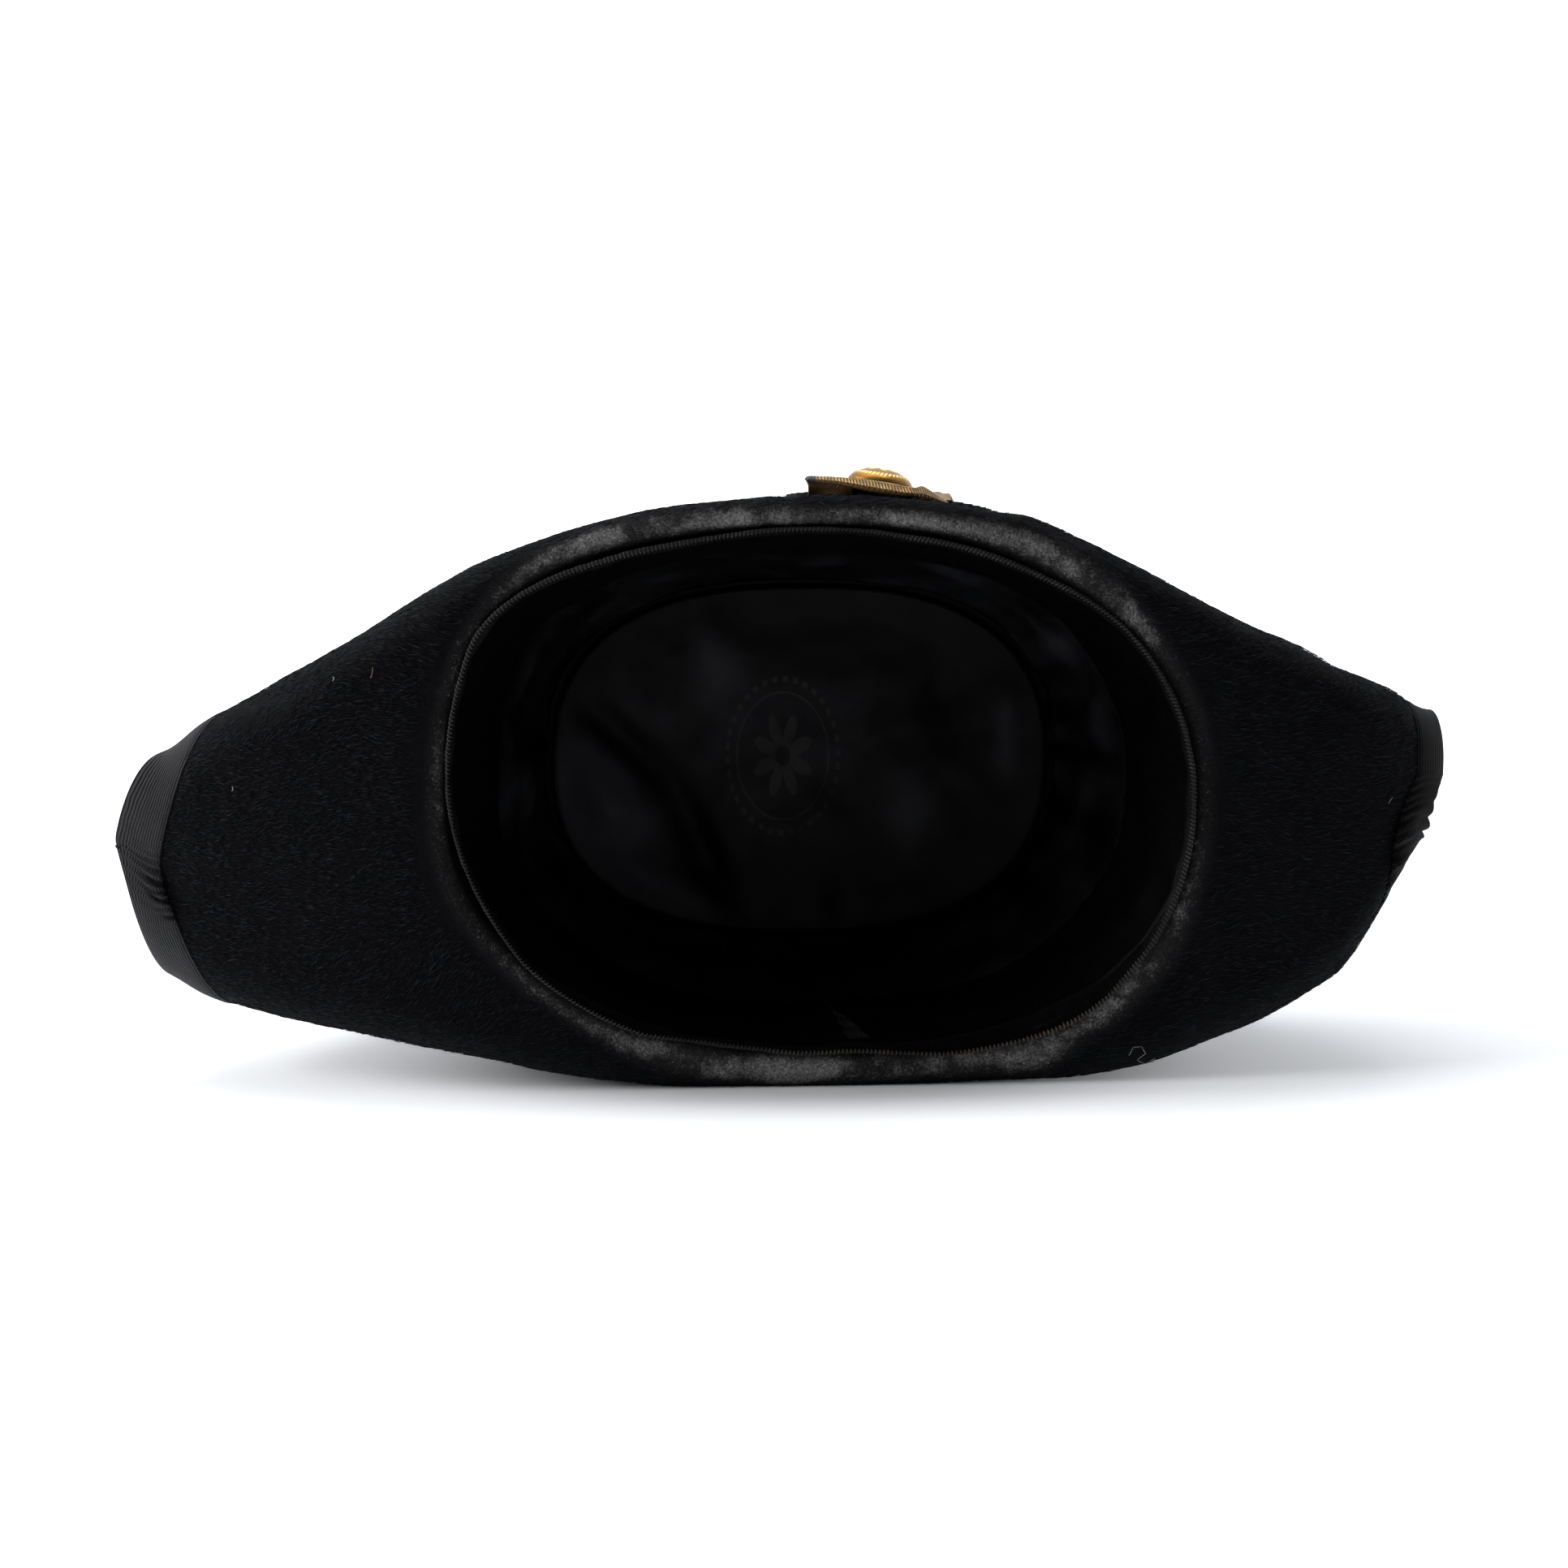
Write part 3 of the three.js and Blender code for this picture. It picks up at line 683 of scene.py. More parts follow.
class Shader(NodeWork):
    """A material with one surface, and the nodes that vary it."""

    def __init__(self, name: str, **constants: float | tuple[float, ...]) -> None:
        """Makes the material.

        Args:
            name: its name.
            constants: values for the surface's own sockets, by socket name with _ for a space.
        """
        self.material = bpy.data.materials.new(name)
        super().__init__(self.material)
        self.surface = self.nodes["Principled BSDF"]
        for socket, value in constants.items():
            self.surface.inputs[socket.replace("_", " ")].default_value = value

    def mark(self, name: str) -> Number:
        """Value that the mesh carries under a name."""
        socket = self.node("ShaderNodeAttribute", {"attribute_name": name}, {}, "Fac")
        return Number(self, socket)

    def place(
        self,
        scale: tuple[float, float, float] = (1, 1, 1),
        centre: tuple[float, float, float] = (0, 0, 0),
        turn: tuple[float, float, float] = (0, 0, 0),
    ) -> bpy.types.NodeSocket:
        """Object coordinates in millimetres about a centre, turned by degrees and scaled."""
        own = self.node("ShaderNodeTexCoord", {}, {}, "Object")
        inputs = {
            "Vector": own,
            "Location": tuple(c * MM for c in centre),
            "Rotation": tuple(math.radians(t) for t in turn),
            "Scale": (1, 1, 1),
        }
        about = self.node("ShaderNodeMapping", {"vector_type": "TEXTURE"}, inputs)
        whole = {"Vector": about, "Scale": tuple(s / MM for s in scale)}
        return self.node("ShaderNodeMapping", {"vector_type": "POINT"}, whole)

    def cloud(
        self, vector: bpy.types.NodeSocket, scale: float, detail: float = 3, rough: float = 0.5
    ) -> Number:
        """Soft noise from 0 to 1: scale is how many lumps there are to a millimetre."""
        inputs = {"Vector": vector, "Scale": scale, "Detail": detail, "Roughness": rough}
        return Number(self, self.node(Pattern.CLOUD.value, {}, inputs))

    def cells(self, vector: bpy.types.NodeSocket, scale: float) -> Number:
        """Distance from the nearest of scattered points."""
        inputs = {"Vector": vector, "Scale": scale}
        return Number(self, self.node(Pattern.CELLS.value, {}, inputs, "Distance"))

    def sway(
        self, vector: bpy.types.NodeSocket, by: bpy.types.NodeSocket, scale: float, amount: float
    ) -> bpy.types.NodeSocket:
        """A vector pushed about by coloured noise read at another vector."""
        kind = "ShaderNodeVectorMath"
        inputs = {"Vector": by, "Scale": scale, "Detail": 2}
        colour = self.node(Pattern.CLOUD.value, {}, inputs, "Color")
        level = self.node(kind, {"operation": "SUBTRACT"}, {0: colour, 1: (0.5, 0.5, 0.5)})
        push = self.node(kind, {"operation": "SCALE"}, {0: level, "Scale": amount})
        return self.node(kind, {"operation": "ADD"}, {0: vector, 1: push})

    def blend(self, share: Number | float, first: object, second: object) -> bpy.types.NodeSocket:
        """Colour between two colours."""

        def full(colour: object) -> object:
            """A colour with its fourth value."""
            return (*colour, 1) if isinstance(colour, tuple) else colour

        inputs = {0: share, 6: full(first), 7: full(second)}
        return self.node("ShaderNodeMix", {"data_type": "RGBA"}, inputs, 2)

    def relief(self, height: Number, depth: float, strength: float = 1) -> bpy.types.NodeSocket:
        """Bump from a height of 0 to 1 that stands for depth millimetres."""
        inputs = {"Height": height, "Distance": depth * MM, "Strength": strength}
        return self.node("ShaderNodeBump", {}, inputs)

    def finish(self, **links: object) -> bpy.types.Material:
        """Feeds the surface's sockets, by name with _ for a space, and gives the material."""
        for socket, value in links.items():
            self.feed(self.surface.inputs[socket.replace("_", " ")], value)
        return self.material


Colour = tuple[float, float, float]


def toned(colour: Colour, share: float) -> Colour:
    """A colour times a share."""
    return tuple(share * c for c in colour)


@dataclass(frozen=True)
class PlushFelt:
    """Black felt with a long combed nap, rubbed grey round the head opening."""

    deep: Colour = (0.0012, 0.0013, 0.002)
    light: Colour = (0.0056, 0.0062, 0.009)
    dusty: Colour = (0.06, 0.0595, 0.061)
    rubbed: Colour = (0.42, 0.41, 0.395)

    def material(self) -> bpy.types.Material:
        """Streaks along the nap, and where the marks say a rubbed band, in patches and grains."""
        s = Shader("plush_felt", Specular_IOR_Level=0.08, Sheen_Weight=0.03, Sheen_Roughness=0.5)
        here = s.place()
        combed = s.sway(s.place((0.3, 2.6, 2.6)), here, 0.05, 0.7)
        streak = s.cloud(combed, 1.3, 5, 0.62)
        patch = s.cloud(here, 0.05, 3)
        fine = s.cloud(here, 2.6, 4, 0.7)
        base = s.blend(streak.ramp(0.4, 0.85) * (0.3 + patch), self.deep, self.light)
        mottle = s.cloud(here, 0.3, 7, 0.78)
        speck = s.cloud(here, 1.5, 5, 0.8)
        away = (s.mark("from_head") - s.mark("centre")).size() / s.mark("spread")
        worn = s.mark("worn") * (1 - away.ramp(0, 2.1))
        broken = worn * (0.5 + 0.8 * patch.ramp(0.36, 0.6))
        film = worn * 0.1
        grains = worn.ramp(0, 0.4) * (speck + mottle * 0.5).ramp(0.84, 1.0) * 0.4
        bare = (broken * 1.25 + mottle * 1.7 + speck * 1.2 - 1.95).ramp(0, 1.6) + film + grains
        dust = s.blend((fine * 0.4 + speck * 0.8).ramp(0.4, 0.85), self.dusty, self.rubbed)
        colour = s.blend(bare.least(1) * 0.9, base, dust)
        normal = s.relief(streak * (1 - 0.5 * worn) + fine * 0.4, 0.3, 0.8)
        return s.finish(Base_Color=colour, Roughness=0.88 - bare * 0.3, Normal=normal)


@dataclass(frozen=True)
class NapHair:
    """Single hairs of the nap, from black to blue grey."""

    dark: Colour = (0.002, 0.0022, 0.0033)
    pale: Colour = (0.026, 0.031, 0.046)

    def material(self) -> bpy.types.Material:
        """Each hair takes its tone from its mark."""
        s = Shader("nap_hair", Specular_IOR_Level=0.15, Roughness=0.6)
        tone = s.mark("tone")
        return s.finish(Base_Color=s.blend(tone**3.4, self.dark, self.pale))


@dataclass(frozen=True)
class BandLeather:
    """Thin black leather, polished and worn, its scuffs and raw edge painted lighter where light
    falls: painted highlight.
    """

    base: Colour = (0.0006, 0.0006, 0.0009)
    # Lighter colour of the scuffs, shown where light falls: painted highlight.
    scuff_highlight: Colour = (0.03, 0.031, 0.034)
    raw: Colour = (0.03, 0.03, 0.03)

    def material(self) -> bpy.types.Material:
        """Grain, creases along the band, scuffs, and a raw deep edge; scuffs and edge show mostly
        where light falls, as painted highlight.
        """
        s = Shader("band_leather", Specular_IOR_Level=0.06)
        here = s.place()
        swirl = s.sway(here, here, 0.09, 6)
        grain = s.cells(here, 1.9)
        crease = s.cloud(s.place((0.12, 1.1, 0.12)), 0.8, 4, 0.6)
        patch = s.cloud(swirl, 0.06, 3)
        scratch = s.cloud(s.place((0.5, 0.35, 1.6), turn=(20, 0, 8)), 1.5, 4, 0.75)
        # The worn mark here is the painted light on the band: scuffs show only where it is, partly
        # real wear and partly painted highlight.
        worn = s.mark("worn")
        scuff_and_highlight = scratch.ramp(0.58, 0.76) * worn * patch.ramp(0.38, 0.6)
        colour = s.blend(scuff_and_highlight, self.base, self.scuff_highlight)
        # The raw deep edge shows mostly where light falls: partly real raw leather, partly painted
        # highlight.
        edge = s.mark("rim")
        colour = s.blend(edge * s.cloud(here, 0.3, 3).ramp(0.35, 0.7), colour, self.raw)
        rough = 0.34 + patch * 0.24 + scuff_and_highlight * 0.2
        normal = s.relief(grain * 0.5 + crease * 0.9 + scratch * 0.25, 0.16, 0.6)
        return s.finish(Base_Color=colour, Roughness=rough, Normal=normal)


@dataclass(frozen=True)
class WhippedCord:
    """Rolled leather edge with thread whipped over it."""

    leather: Colour = (0.0022, 0.0023, 0.003)
    grey_thread: Colour = (0.085, 0.081, 0.07)
    tan_thread: Colour = (0.24, 0.16, 0.07)

    def material(self) -> bpy.types.Material:
        """The thread mark picks out the stitches, and tan where the thread has bleached."""
        s = Shader("whipped_cord", Specular_IOR_Level=0.2)
        here = s.place()
        dirt = s.cloud(here, 0.7, 4, 0.7)
        broad = s.cloud(here, 0.05, 2)
        thread = s.mark("thread")
        tan = s.mark("tan") * dirt.ramp(0.35, 0.6)
        lively = s.blend(tan, self.grey_thread, self.tan_thread)
        kept = thread.ramp(0.5, 1.05) * (0.3 + 0.8 * broad.ramp(0.35, 0.65)) * (0.2 + dirt * 1.3)
        colour = s.blend(kept.least(1), self.leather, lively)
        strands = s.cloud(s.place((4, 4, 4)), 2, 3, 0.6)
        normal = s.relief(strands, 0.1, 0.7)
        return s.finish(Base_Color=colour, Roughness=0.5 + 0.2 * dirt, Normal=normal)


@dataclass(frozen=True)
class LiningSatin:
    """Black satin with a fine twill, and a plain printed rosette on the crown's end."""

    name: str
    base: Colour = (0.0006, 0.0006, 0.0007)
    # Colour of painted light on the satin's loose folds.
    slack_and_painted_light: Colour = (0.024, 0.024, 0.028)
    printed: Colour = (0.034, 0.033, 0.031)
    # The print: its middle, half its height and width, and how far out its rings lie.
    centre: tuple[float, float, float] = (3, 30, 76)
    print_height: float = 25
    print_width: float = 18
    dashes: float = 34
    dash_ring: float = 0.92
    line_ring: float = 0.76
    petals: float = 8

    def material(self) -> bpy.types.Material:
        """Twill lines, patches of painted light and painted shade, and rings of dashes round a
        rosette where printed.
        """
        s = Shader(self.name, Specular_IOR_Level=0.06)
        here = s.place()
        x, y, z = (s.axis(here, which) for which in "XYZ")
        twill = ((x + z * 0.8 + y * 1.1) * 12.0).sine() * 0.5 + 0.5
        slub = s.cloud(s.place((0.15, 2.5, 2.5)), 1.4, 3, 0.6)
        patch = s.cloud(here, 0.05, 3)
        crease = s.cloud(s.sway(here, here, 0.12, 5), 0.22, 3, 0.6)
        about = s.place(centre=self.centre)
        across, up = s.axis(about, "X"), s.axis(about, "Z")
        away = ((across / self.print_width) ** 2.0 + (up / self.print_height) ** 2.0) ** 0.5
        turn = (up / self.print_height).angle(across / self.print_width)
        dash = (turn * self.dashes).sine().ramp(-0.2, 0.2)
        ring = (1 - (away - self.dash_ring).size() * 22.0).ramp(0, 0.5) * dash
        line = (1 - (away - self.line_ring).size() * 60.0).ramp(0, 0.5)
        petal = (turn * (self.petals / 2)).sine().size() * 0.34 + 0.2
        rosette = (petal - away).ramp(0, 0.06) * (away - 0.1).ramp(0, 0.04)
        worn_off = 0.25 + 0.75 * patch.ramp(0.35, 0.6)
        ink = (ring + line + rosette).least(1) * s.mark("printed") * worn_off
        # The mark paints light and shade on the folds; patches, twill and slubs add random tone.
        puff = s.mark("puff") + patch * 0.8 - 0.4 + twill * 0.06 + slub * 0.1 - 0.05
        colour = s.blend(puff.ramp(0, 1), self.base, self.slack_and_painted_light)
        colour = s.blend(ink * 0.55, colour, self.printed)
        normal = s.relief(twill * 0.25 + slub * 0.5 + crease * 1.1, 0.14, 0.7)
        rough = 0.3 + 0.16 * slub + 0.1 * patch
        return s.finish(Base_Color=colour, Roughness=rough, Normal=normal)


@dataclass(frozen=True)
class RibbedSilk:
    """Ribbed black silk ribbon, painted grey towards the rear point where light from the left
    falls: painted light.
    """

    name: str
    base: Colour = (0.0085, 0.0085, 0.009)
    # Grey of the painted light that falls from the left on the rear of the ribbon.
    faded: Colour = (0.052, 0.051, 0.0555)
    pitch: float = 0.74
    shadow: Colour = (0.0012, 0.0012, 0.0014)

    def material(self) -> bpy.types.Material:
        """Ribs along the ribbon, by the mark that counts millimetres across it.

        The fold shade mark darkens the bottoms of folds as painted shade, and lightens their crests
        as painted highlight where it is below 0.
        """
        s = Shader(self.name, Specular_IOR_Level=0.03)
        here = s.place()
        across = s.mark("across")
        wander = s.cloud(here, 0.25, 2) * 0.5
        rib = ((across + wander) * (2 * math.pi / self.pitch)).sine() * 0.5 + 0.5
        patch = s.cloud(here, 0.09, 3)
        fuzz = s.cloud(here, 3.2, 3, 0.7)
        share = rib * 0.8 + patch * 0.35 + fuzz * 0.3 - 0.4
        dark = s.blend(share.ramp(0, 1), toned(self.base, 0.5), toned(self.base, 2.2))
        light = s.blend(share.ramp(0, 1), toned(self.faded, 0.5), self.faded)
        # Painted light: the mark turns the ribbon grey towards the rear point.
        colour = s.blend(s.mark("faded"), dark, light)
        hollow = s.mark("hollow")
        # Painted shade at the bottoms of folds, then painted highlight on their crests.
        colour = s.blend(hollow.ramp(0, 1) * 0.85, colour, self.shadow)
        colour = s.blend((0 - hollow).ramp(0, 1) * 0.6, colour, toned(self.faded, 2.2))
        normal = s.relief(rib + fuzz * 0.2, 0.36, 1)
        return s.finish(Base_Color=colour, Roughness=0.5 + 0.15 * patch, Normal=normal)


@dataclass(frozen=True)
class GoldLace:
    """Woven metal lace, gold dulled to brown in its hollows."""

    gold: Colour = (0.56, 0.36, 0.13)
    brown: Colour = (0.12, 0.062, 0.022)
    slate: Colour = (0.022, 0.026, 0.034)
    pitch: float = 0.62
    rib: float = 3.1

    def material(self) -> bpy.types.Material:
        """Herringbone of threads along zigzag ribs, open mesh where shaded, slate where torn."""
        s = Shader("gold_lace", Specular_IOR_Level=0.4)
        here = s.place()
        along, across = s.mark("along"), s.mark("across")
        zigzag = across.fold(self.rib / 2) * (0.75 / self.pitch)
        thread = ((along / self.pitch + zigzag) * (2 * math.pi)).sine() * 0.5 + 0.5
        holes = (along * 6.0).sine() * (across * 7.0).sine() * 0.5 + 0.5
        shaded = s.mark("shaded")
        weave = thread + (holes - thread) * shaded
        dull = s.cloud(here, 0.3, 4, 0.6)
        fine = s.cloud(here, 3.0, 3, 0.6)
        share = (weave * 0.8 + fine * 0.35 - 0.1).ramp(0, 1) * (0.35 + 0.65 * dull.ramp(0.3, 0.7))
        colour = s.blend(share * (1 - 0.55 * shaded), self.brown, self.gold)
        torn = s.mark("torn")
        colour = s.blend(torn, colour, self.slate)
        metal = 0.7 * (0.4 + 0.6 * share) * (1 - torn)
        rough = 0.5 - 0.12 * share
        normal = s.relief(weave + fine * 0.3, 0.14, 0.9)
        return s.finish(Base_Color=colour, Metallic=metal, Roughness=rough, Normal=normal)


@dataclass(frozen=True)
class GiltBrass:
    """Gilt of the button, browned where its pattern lies low."""

    gilt: Colour = (0.92, 0.62, 0.2)
    brown: Colour = (0.25, 0.12, 0.025)

    def material(self) -> bpy.types.Material:
        """Bright on what stands high, brown in the hollows."""
        s = Shader("gilt_brass", Specular_IOR_Level=0.5)
        here = s.place()
        high = s.mark("high")
        dull = s.cloud(here, 0.45, 4, 0.6)
        share = (high * 0.9 + dull * 0.5 - 0.2).ramp(0, 0.8)
        colour = s.blend(share, self.brown, self.gilt)
        rough = 0.42 - 0.16 * share
        normal = s.relief(s.cloud(here, 4, 3), 0.03, 0.5)
        return s.finish(Base_Color=colour, Metallic=1.0, Roughness=rough, Normal=normal)


@dataclass(frozen=True)
class PlainThread:
    """Thread, hair or lint of one colour, with a little dirt."""

    name: str
    colour: Colour

    def material(self) -> bpy.types.Material:
        """The colour, darker in patches."""
        s = Shader(self.name, Specular_IOR_Level=0.3, Roughness=0.7)
        dirt = s.cloud(s.place(), 1.2, 3)
        colour = s.blend(dirt.ramp(0.3, 0.65), toned(self.colour, 0.45), self.colour)
        return s.finish(Base_Color=colour)


def seat(piece: bpy.types.Object, slot: str, *nodes: str) -> bpy.types.Object:
    """Makes a piece ride on the hat and stand for its nodes."""
    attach(piece, "root")
    if nodes:
        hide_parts(*nodes)
    LOG.info("%s: %d faces", piece.name, len(piece.data.polygons))
    return piece


@dataclass
class FeltBody:
    """The felt: one wall for crown and brim, and the hairs of its nap."""

    columns: int = 420
    cap_rows: int = 6
    crown_rows: int = 24
    bend_rows: int = 8
    flat_rows: int = 12
    fold_rows: int = 22
    leaf_rows: int = 18
    crown_top: float = 97.8
    cap: tuple[float, float, float] = (34, 23, 97.5)
    hair_length: float = 3
    hair_width: float = 0.11
    # Stretch of the right leaf under the loop and the cockade, where no hair is set.
    trim_x: tuple[float, float] = (-10, 54)
    # Distance that stands for a row far from the cut edge or from the flat felt.
    far: float = 999

    def __post_init__(self) -> None:
        """Works out the two faces of the wall."""
        self.angle = FORM.columns(self.columns)
        first, edge, length = FORM.brim_line(self.angle)
        points = [self._cap(), self._crown(), self._bend(first)]
        t = self._stops()
        flat = first[:, 0] + (edge - first)[:, 0] * t
        w = first[:, 1] + (edge - first)[:, 1] * t
        points.append(FORM.hull(flat, w))
        above = sum(len(p) for p in points[:-1])
        far = np.full((above, self.columns), self.far)
        self.to_edge = np.concatenate([far, (1 - t) * length])
        bend = FORM.bend * (np.radians(self._bend_steps()) - math.pi / 2)
        before = np.concatenate([np.full(above - self.bend_rows, -9.0), bend])
        before = np.repeat(before[:, None], self.columns, 1)
        self.from_head = np.concatenate([before, t * length])
        self.above = above
        self.flat = np.concatenate([far, flat])
        self.w = np.concatenate([np.zeros((above, self.columns)), w])
        self.outside = FORM.place(np.concatenate(points))
        around = np.roll(self.outside, -1, 1) - np.roll(self.outside, 1, 1)
        down = np.gradient(self.outside, axis=0)
        self.into = unit(np.cross(around, down))
        free = smooth(self.from_head, 3, 12) * smooth(self.to_edge, 13, 20)
        uneven = Ripple(SEED, 24).at(self.outside) * 0.16
        uneven = uneven + Ripple(SEED + 1, 7).at(self.outside) * 0.05
        self.outside = self.outside - self.into * (free * uneven)[..., None]
        self.inside = self.outside + self.into * FORM.felt_wall
        under = FORM.ribbon_gap + FORM.ribbon_thick
        level = under * (1 - smooth(self.to_edge, FORM.ribbon_width, 17))
        self.outside[..., 2] = np.maximum(self.outside[..., 2], level)
        self.inside[..., 2] = np.maximum(self.inside[..., 2], level + FORM.felt_wall)

    def _cap(self) -> np.ndarray:
        """Rings of the crown's end: its innermost oval times shares that grow evenly."""
        share = (np.arange(1, self.cap_rows + 1) / (self.cap_rows + 1))[:, None]
        length, width, edge = self.cap
        h = self.crown_top + (edge - self.crown_top) * share**2
        return FORM.ring(self.angle, length * share, width * share, h, edge)

    def _crown(self) -> np.ndarray:
        """Rings of the crown's wall, from its end to the opening, by the crown's table."""
        step = (6 * (1 - np.linspace(0, 1, self.crown_rows)) ** 0.8)[:, None]
        length = CROWN.read("step", "half_length", step)
        width = CROWN.read("step", "half_width", step)
        return FORM.ring(self.angle, length, width, CROWN.read("step", "h", step))

    def _bend_steps(self) -> np.ndarray:
        """Angles of the bend's rows, from the crown's wall to the brim."""
        return np.linspace(0, 90, self.bend_rows + 2)[1:-1]

    def _bend(self, first: np.ndarray) -> np.ndarray:
        """Quarter arc from the crown's wall into the brim."""
        step = np.radians(self._bend_steps())[:, None]
        length, width = FORM.head_length - FORM.bend, FORM.head_width - FORM.bend
        inner = FORM.oval(self.angle, length, width, 0)
        start = FORM.hull(first[:, 0], first[:, 1])
        part = np.cos(step)
        x = start[:, 0] + (inner[0] - start[:, 0]) * part
        s = start[:, 1] + (inner[1] - start[:, 1]) * part
        return np.stack([x, s, start[:, 2] + FORM.bend * (1 - np.sin(step))], axis=-1)

    def _stops(self) -> np.ndarray:
        """Shares of each brim line where rows lie, closer together in the fold."""
        start, end = FORM.fold_stops(self.angle)
        flat = np.linspace(0, 1, self.flat_rows, endpoint=False)[:, None] * start
        fold = start + np.linspace(0, 1, self.fold_rows, endpoint=False)[:, None] * (end - start)
        leaf = end + np.linspace(0, 1, self.leaf_rows)[:, None] * (1 - end)
        return np.concatenate([flat, fold, leaf])

    def wear(self) -> dict[str, np.ndarray]:
        """The rubbed band's marks at each point of the face that looks out."""
        read = {n: WEAR.read("angle", n, self.angle % 360) for n in ("worn", "centre", "spread")}
        full = {n: np.repeat(v[None], len(self.outside), 0) for n, v in read.items()}
        full["worn"][: self.above - self.bend_rows] = 0
        full["from_head"] = self.from_head
        return full

    def bare(self) -> np.ndarray:
        """Share of hair lost at each point: worn times a bell about the band's middle."""
        wear = self.wear()
        return wear["worn"] * bell(wear["from_head"] - wear["centre"], wear["spread"])

    def build(self) -> bpy.types.Object:
        """The wall: both faces, joined at the cut edge and closed at the crown's end."""
        rows, columns = self.outside.shape[:2]
        tops = FORM.place(
            np.array([[0, 0, self.crown_top], [0, 0, self.crown_top + FORM.felt_wall]])
        )
        points = np.concatenate([self.outside.reshape(-1, 3), self.inside.reshape(-1, 3), tops])
        back = rows * columns
        face = quads(rows, columns, False, True)
        k = np.arange(columns)
        beside = (k + 1) % columns
        edge = (rows - 1) * columns
        rim = np.stack([edge + k, back + edge + k, back + edge + beside, edge + beside], axis=-1)
        caps = [
            np.stack([np.full(columns, 2 * back), k, beside], axis=-1),
            np.stack([np.full(columns, 2 * back + 1), back + beside, back + k], axis=-1),
        ]
        rest = {"worn": 0, "centre": 0, "spread": 1, "from_head": 0}
        marks = {
            n: np.concatenate([v.reshape(-1), np.full(back + 2, rest[n])])
            for n, v in self.wear().items()
        }
        shape = Shape()
        shape.add(points, [face[:, ::-1], back + face, rim, *caps], **marks)
        return seat(shape.build("felt_shell", PlushFelt().material()), "felt_body", "felt_body")

    def _hairs(
        self, face: np.ndarray, away: np.ndarray, weight: np.ndarray, count: int, seed: int
    ) -> Shape:
        """Slivers of hair scattered over a face.

        Each hair is a flat four-sided sliver: a root in the felt, a tip, and two points beside
        its raised middle. It lies along the hat, turned by broad waves and a little by chance.

        Args:
            face: rows by columns of points.
            away: unit vectors out of the felt.
            weight: how thickly the hair grows at each point.
            count: how many hairs.
            seed: number that fixes the scatter.

        Returns:
            The hairs' shape.
        """
        rng = np.random.default_rng(seed)
        here, right = face[:-1], np.roll(face, -1, 1)[:-1]
        below = face[1:]
        area = np.linalg.norm(np.cross(right - here, below - here), axis=-1)
        chance = (area * weight[:-1]).reshape(-1)
        pick = rng.choice(len(chance), count, p=chance / chance.sum())
        r, c = np.unravel_index(pick, area.shape)
        beside = (c + 1) % self.columns
        a, b = rng.random((2, count, 1))
        top = face[r, c] * (1 - a) + face[r, beside] * a
        low = face[r + 1, c] * (1 - a) + face[r + 1, beside] * a
        root = top * (1 - b) + low * b
        out = away[r, c]
        sweep = Ripple(SEED + 5, 70).at(root) * 0.16 + Ripple(SEED + 6, 16).at(root) * 0.12
        rear = root[:, 0] < 0
        sweep = sweep + np.where(rear, -0.45 * smooth(95 - root[:, 2], 0, 60), 0.12)
        turn = sweep + rng.normal(0, 0.2, count)
        lay = np.stack([np.cos(turn), np.sin(turn), np.sin(turn)], axis=-1)
        lay[:, 0] *= np.where(rear, -1, 1)
        lay = unit(lay - out * (lay * out).sum(-1, keepdims=True))
        reach = self.hair_length * rng.uniform(0.45, 1.5, (count, 1))
        lift = rng.uniform(0.05, 0.34, (count, 1))
        tip = root + lay * reach + out * lift
        middle = root + lay * reach * 0.5 + out * (lift * 0.5 + 0.13)
        side = np.cross(out, lay) * self.hair_width * rng.uniform(0.5, 1.2, (count, 1))
        points = np.stack([root - out * 0.06, tip, middle + side / 2, middle - side / 2], axis=1)
        points[..., 2] = np.maximum(points[..., 2], 0.02)
        corner = np.array([[0, 3, 2], [1, 2, 3], [0, 2, 1], [0, 1, 3]])
        faces = (np.arange(count)[:, None, None] * 4 + corner).reshape(-1, 3)
        tone = np.repeat(rng.random(count), 4)
        shape = Shape()
        shape.add(points.reshape(-1, 3), [faces], tone=tone)
        return shape

    def nap(self) -> list[bpy.types.Object]:
        """Hairs over the brim, on the faces that look out and on those between the leaves."""
        hair = NapHair().material()
        bare = 1 - np.clip(self.bare() * 1.2, 0, 0.93)
        clear = smooth(self.to_edge, 11.9, 12.8) * (self.from_head > 1.5)
        right = (self.w > 0) & (self.flat > self.trim_x[0]) & (self.flat < self.trim_x[1])
        trimmed = np.where(right & (self.from_head > 8), 0, 1)
        grown = bare * clear * trimmed
        rear = self.outside[..., 0] < 0
        jobs = [
            ("nap_rear", self.outside, -self.into, grown * rear, 42000),
            ("nap_front", self.outside, -self.into, grown * ~rear, 38000),
            ("nap_between_leaves", self.inside, self.into, (self.to_edge > 12.8) * 1.0, 12000),
        ]
        pieces = []
        for number, (name, face, away, weight, count) in enumerate(jobs):
            shape = self._hairs(face, away, weight, count, SEED + 20 + number)
            pieces.append(seat(shape.build(name, hair), "felt_body"))
        return pieces


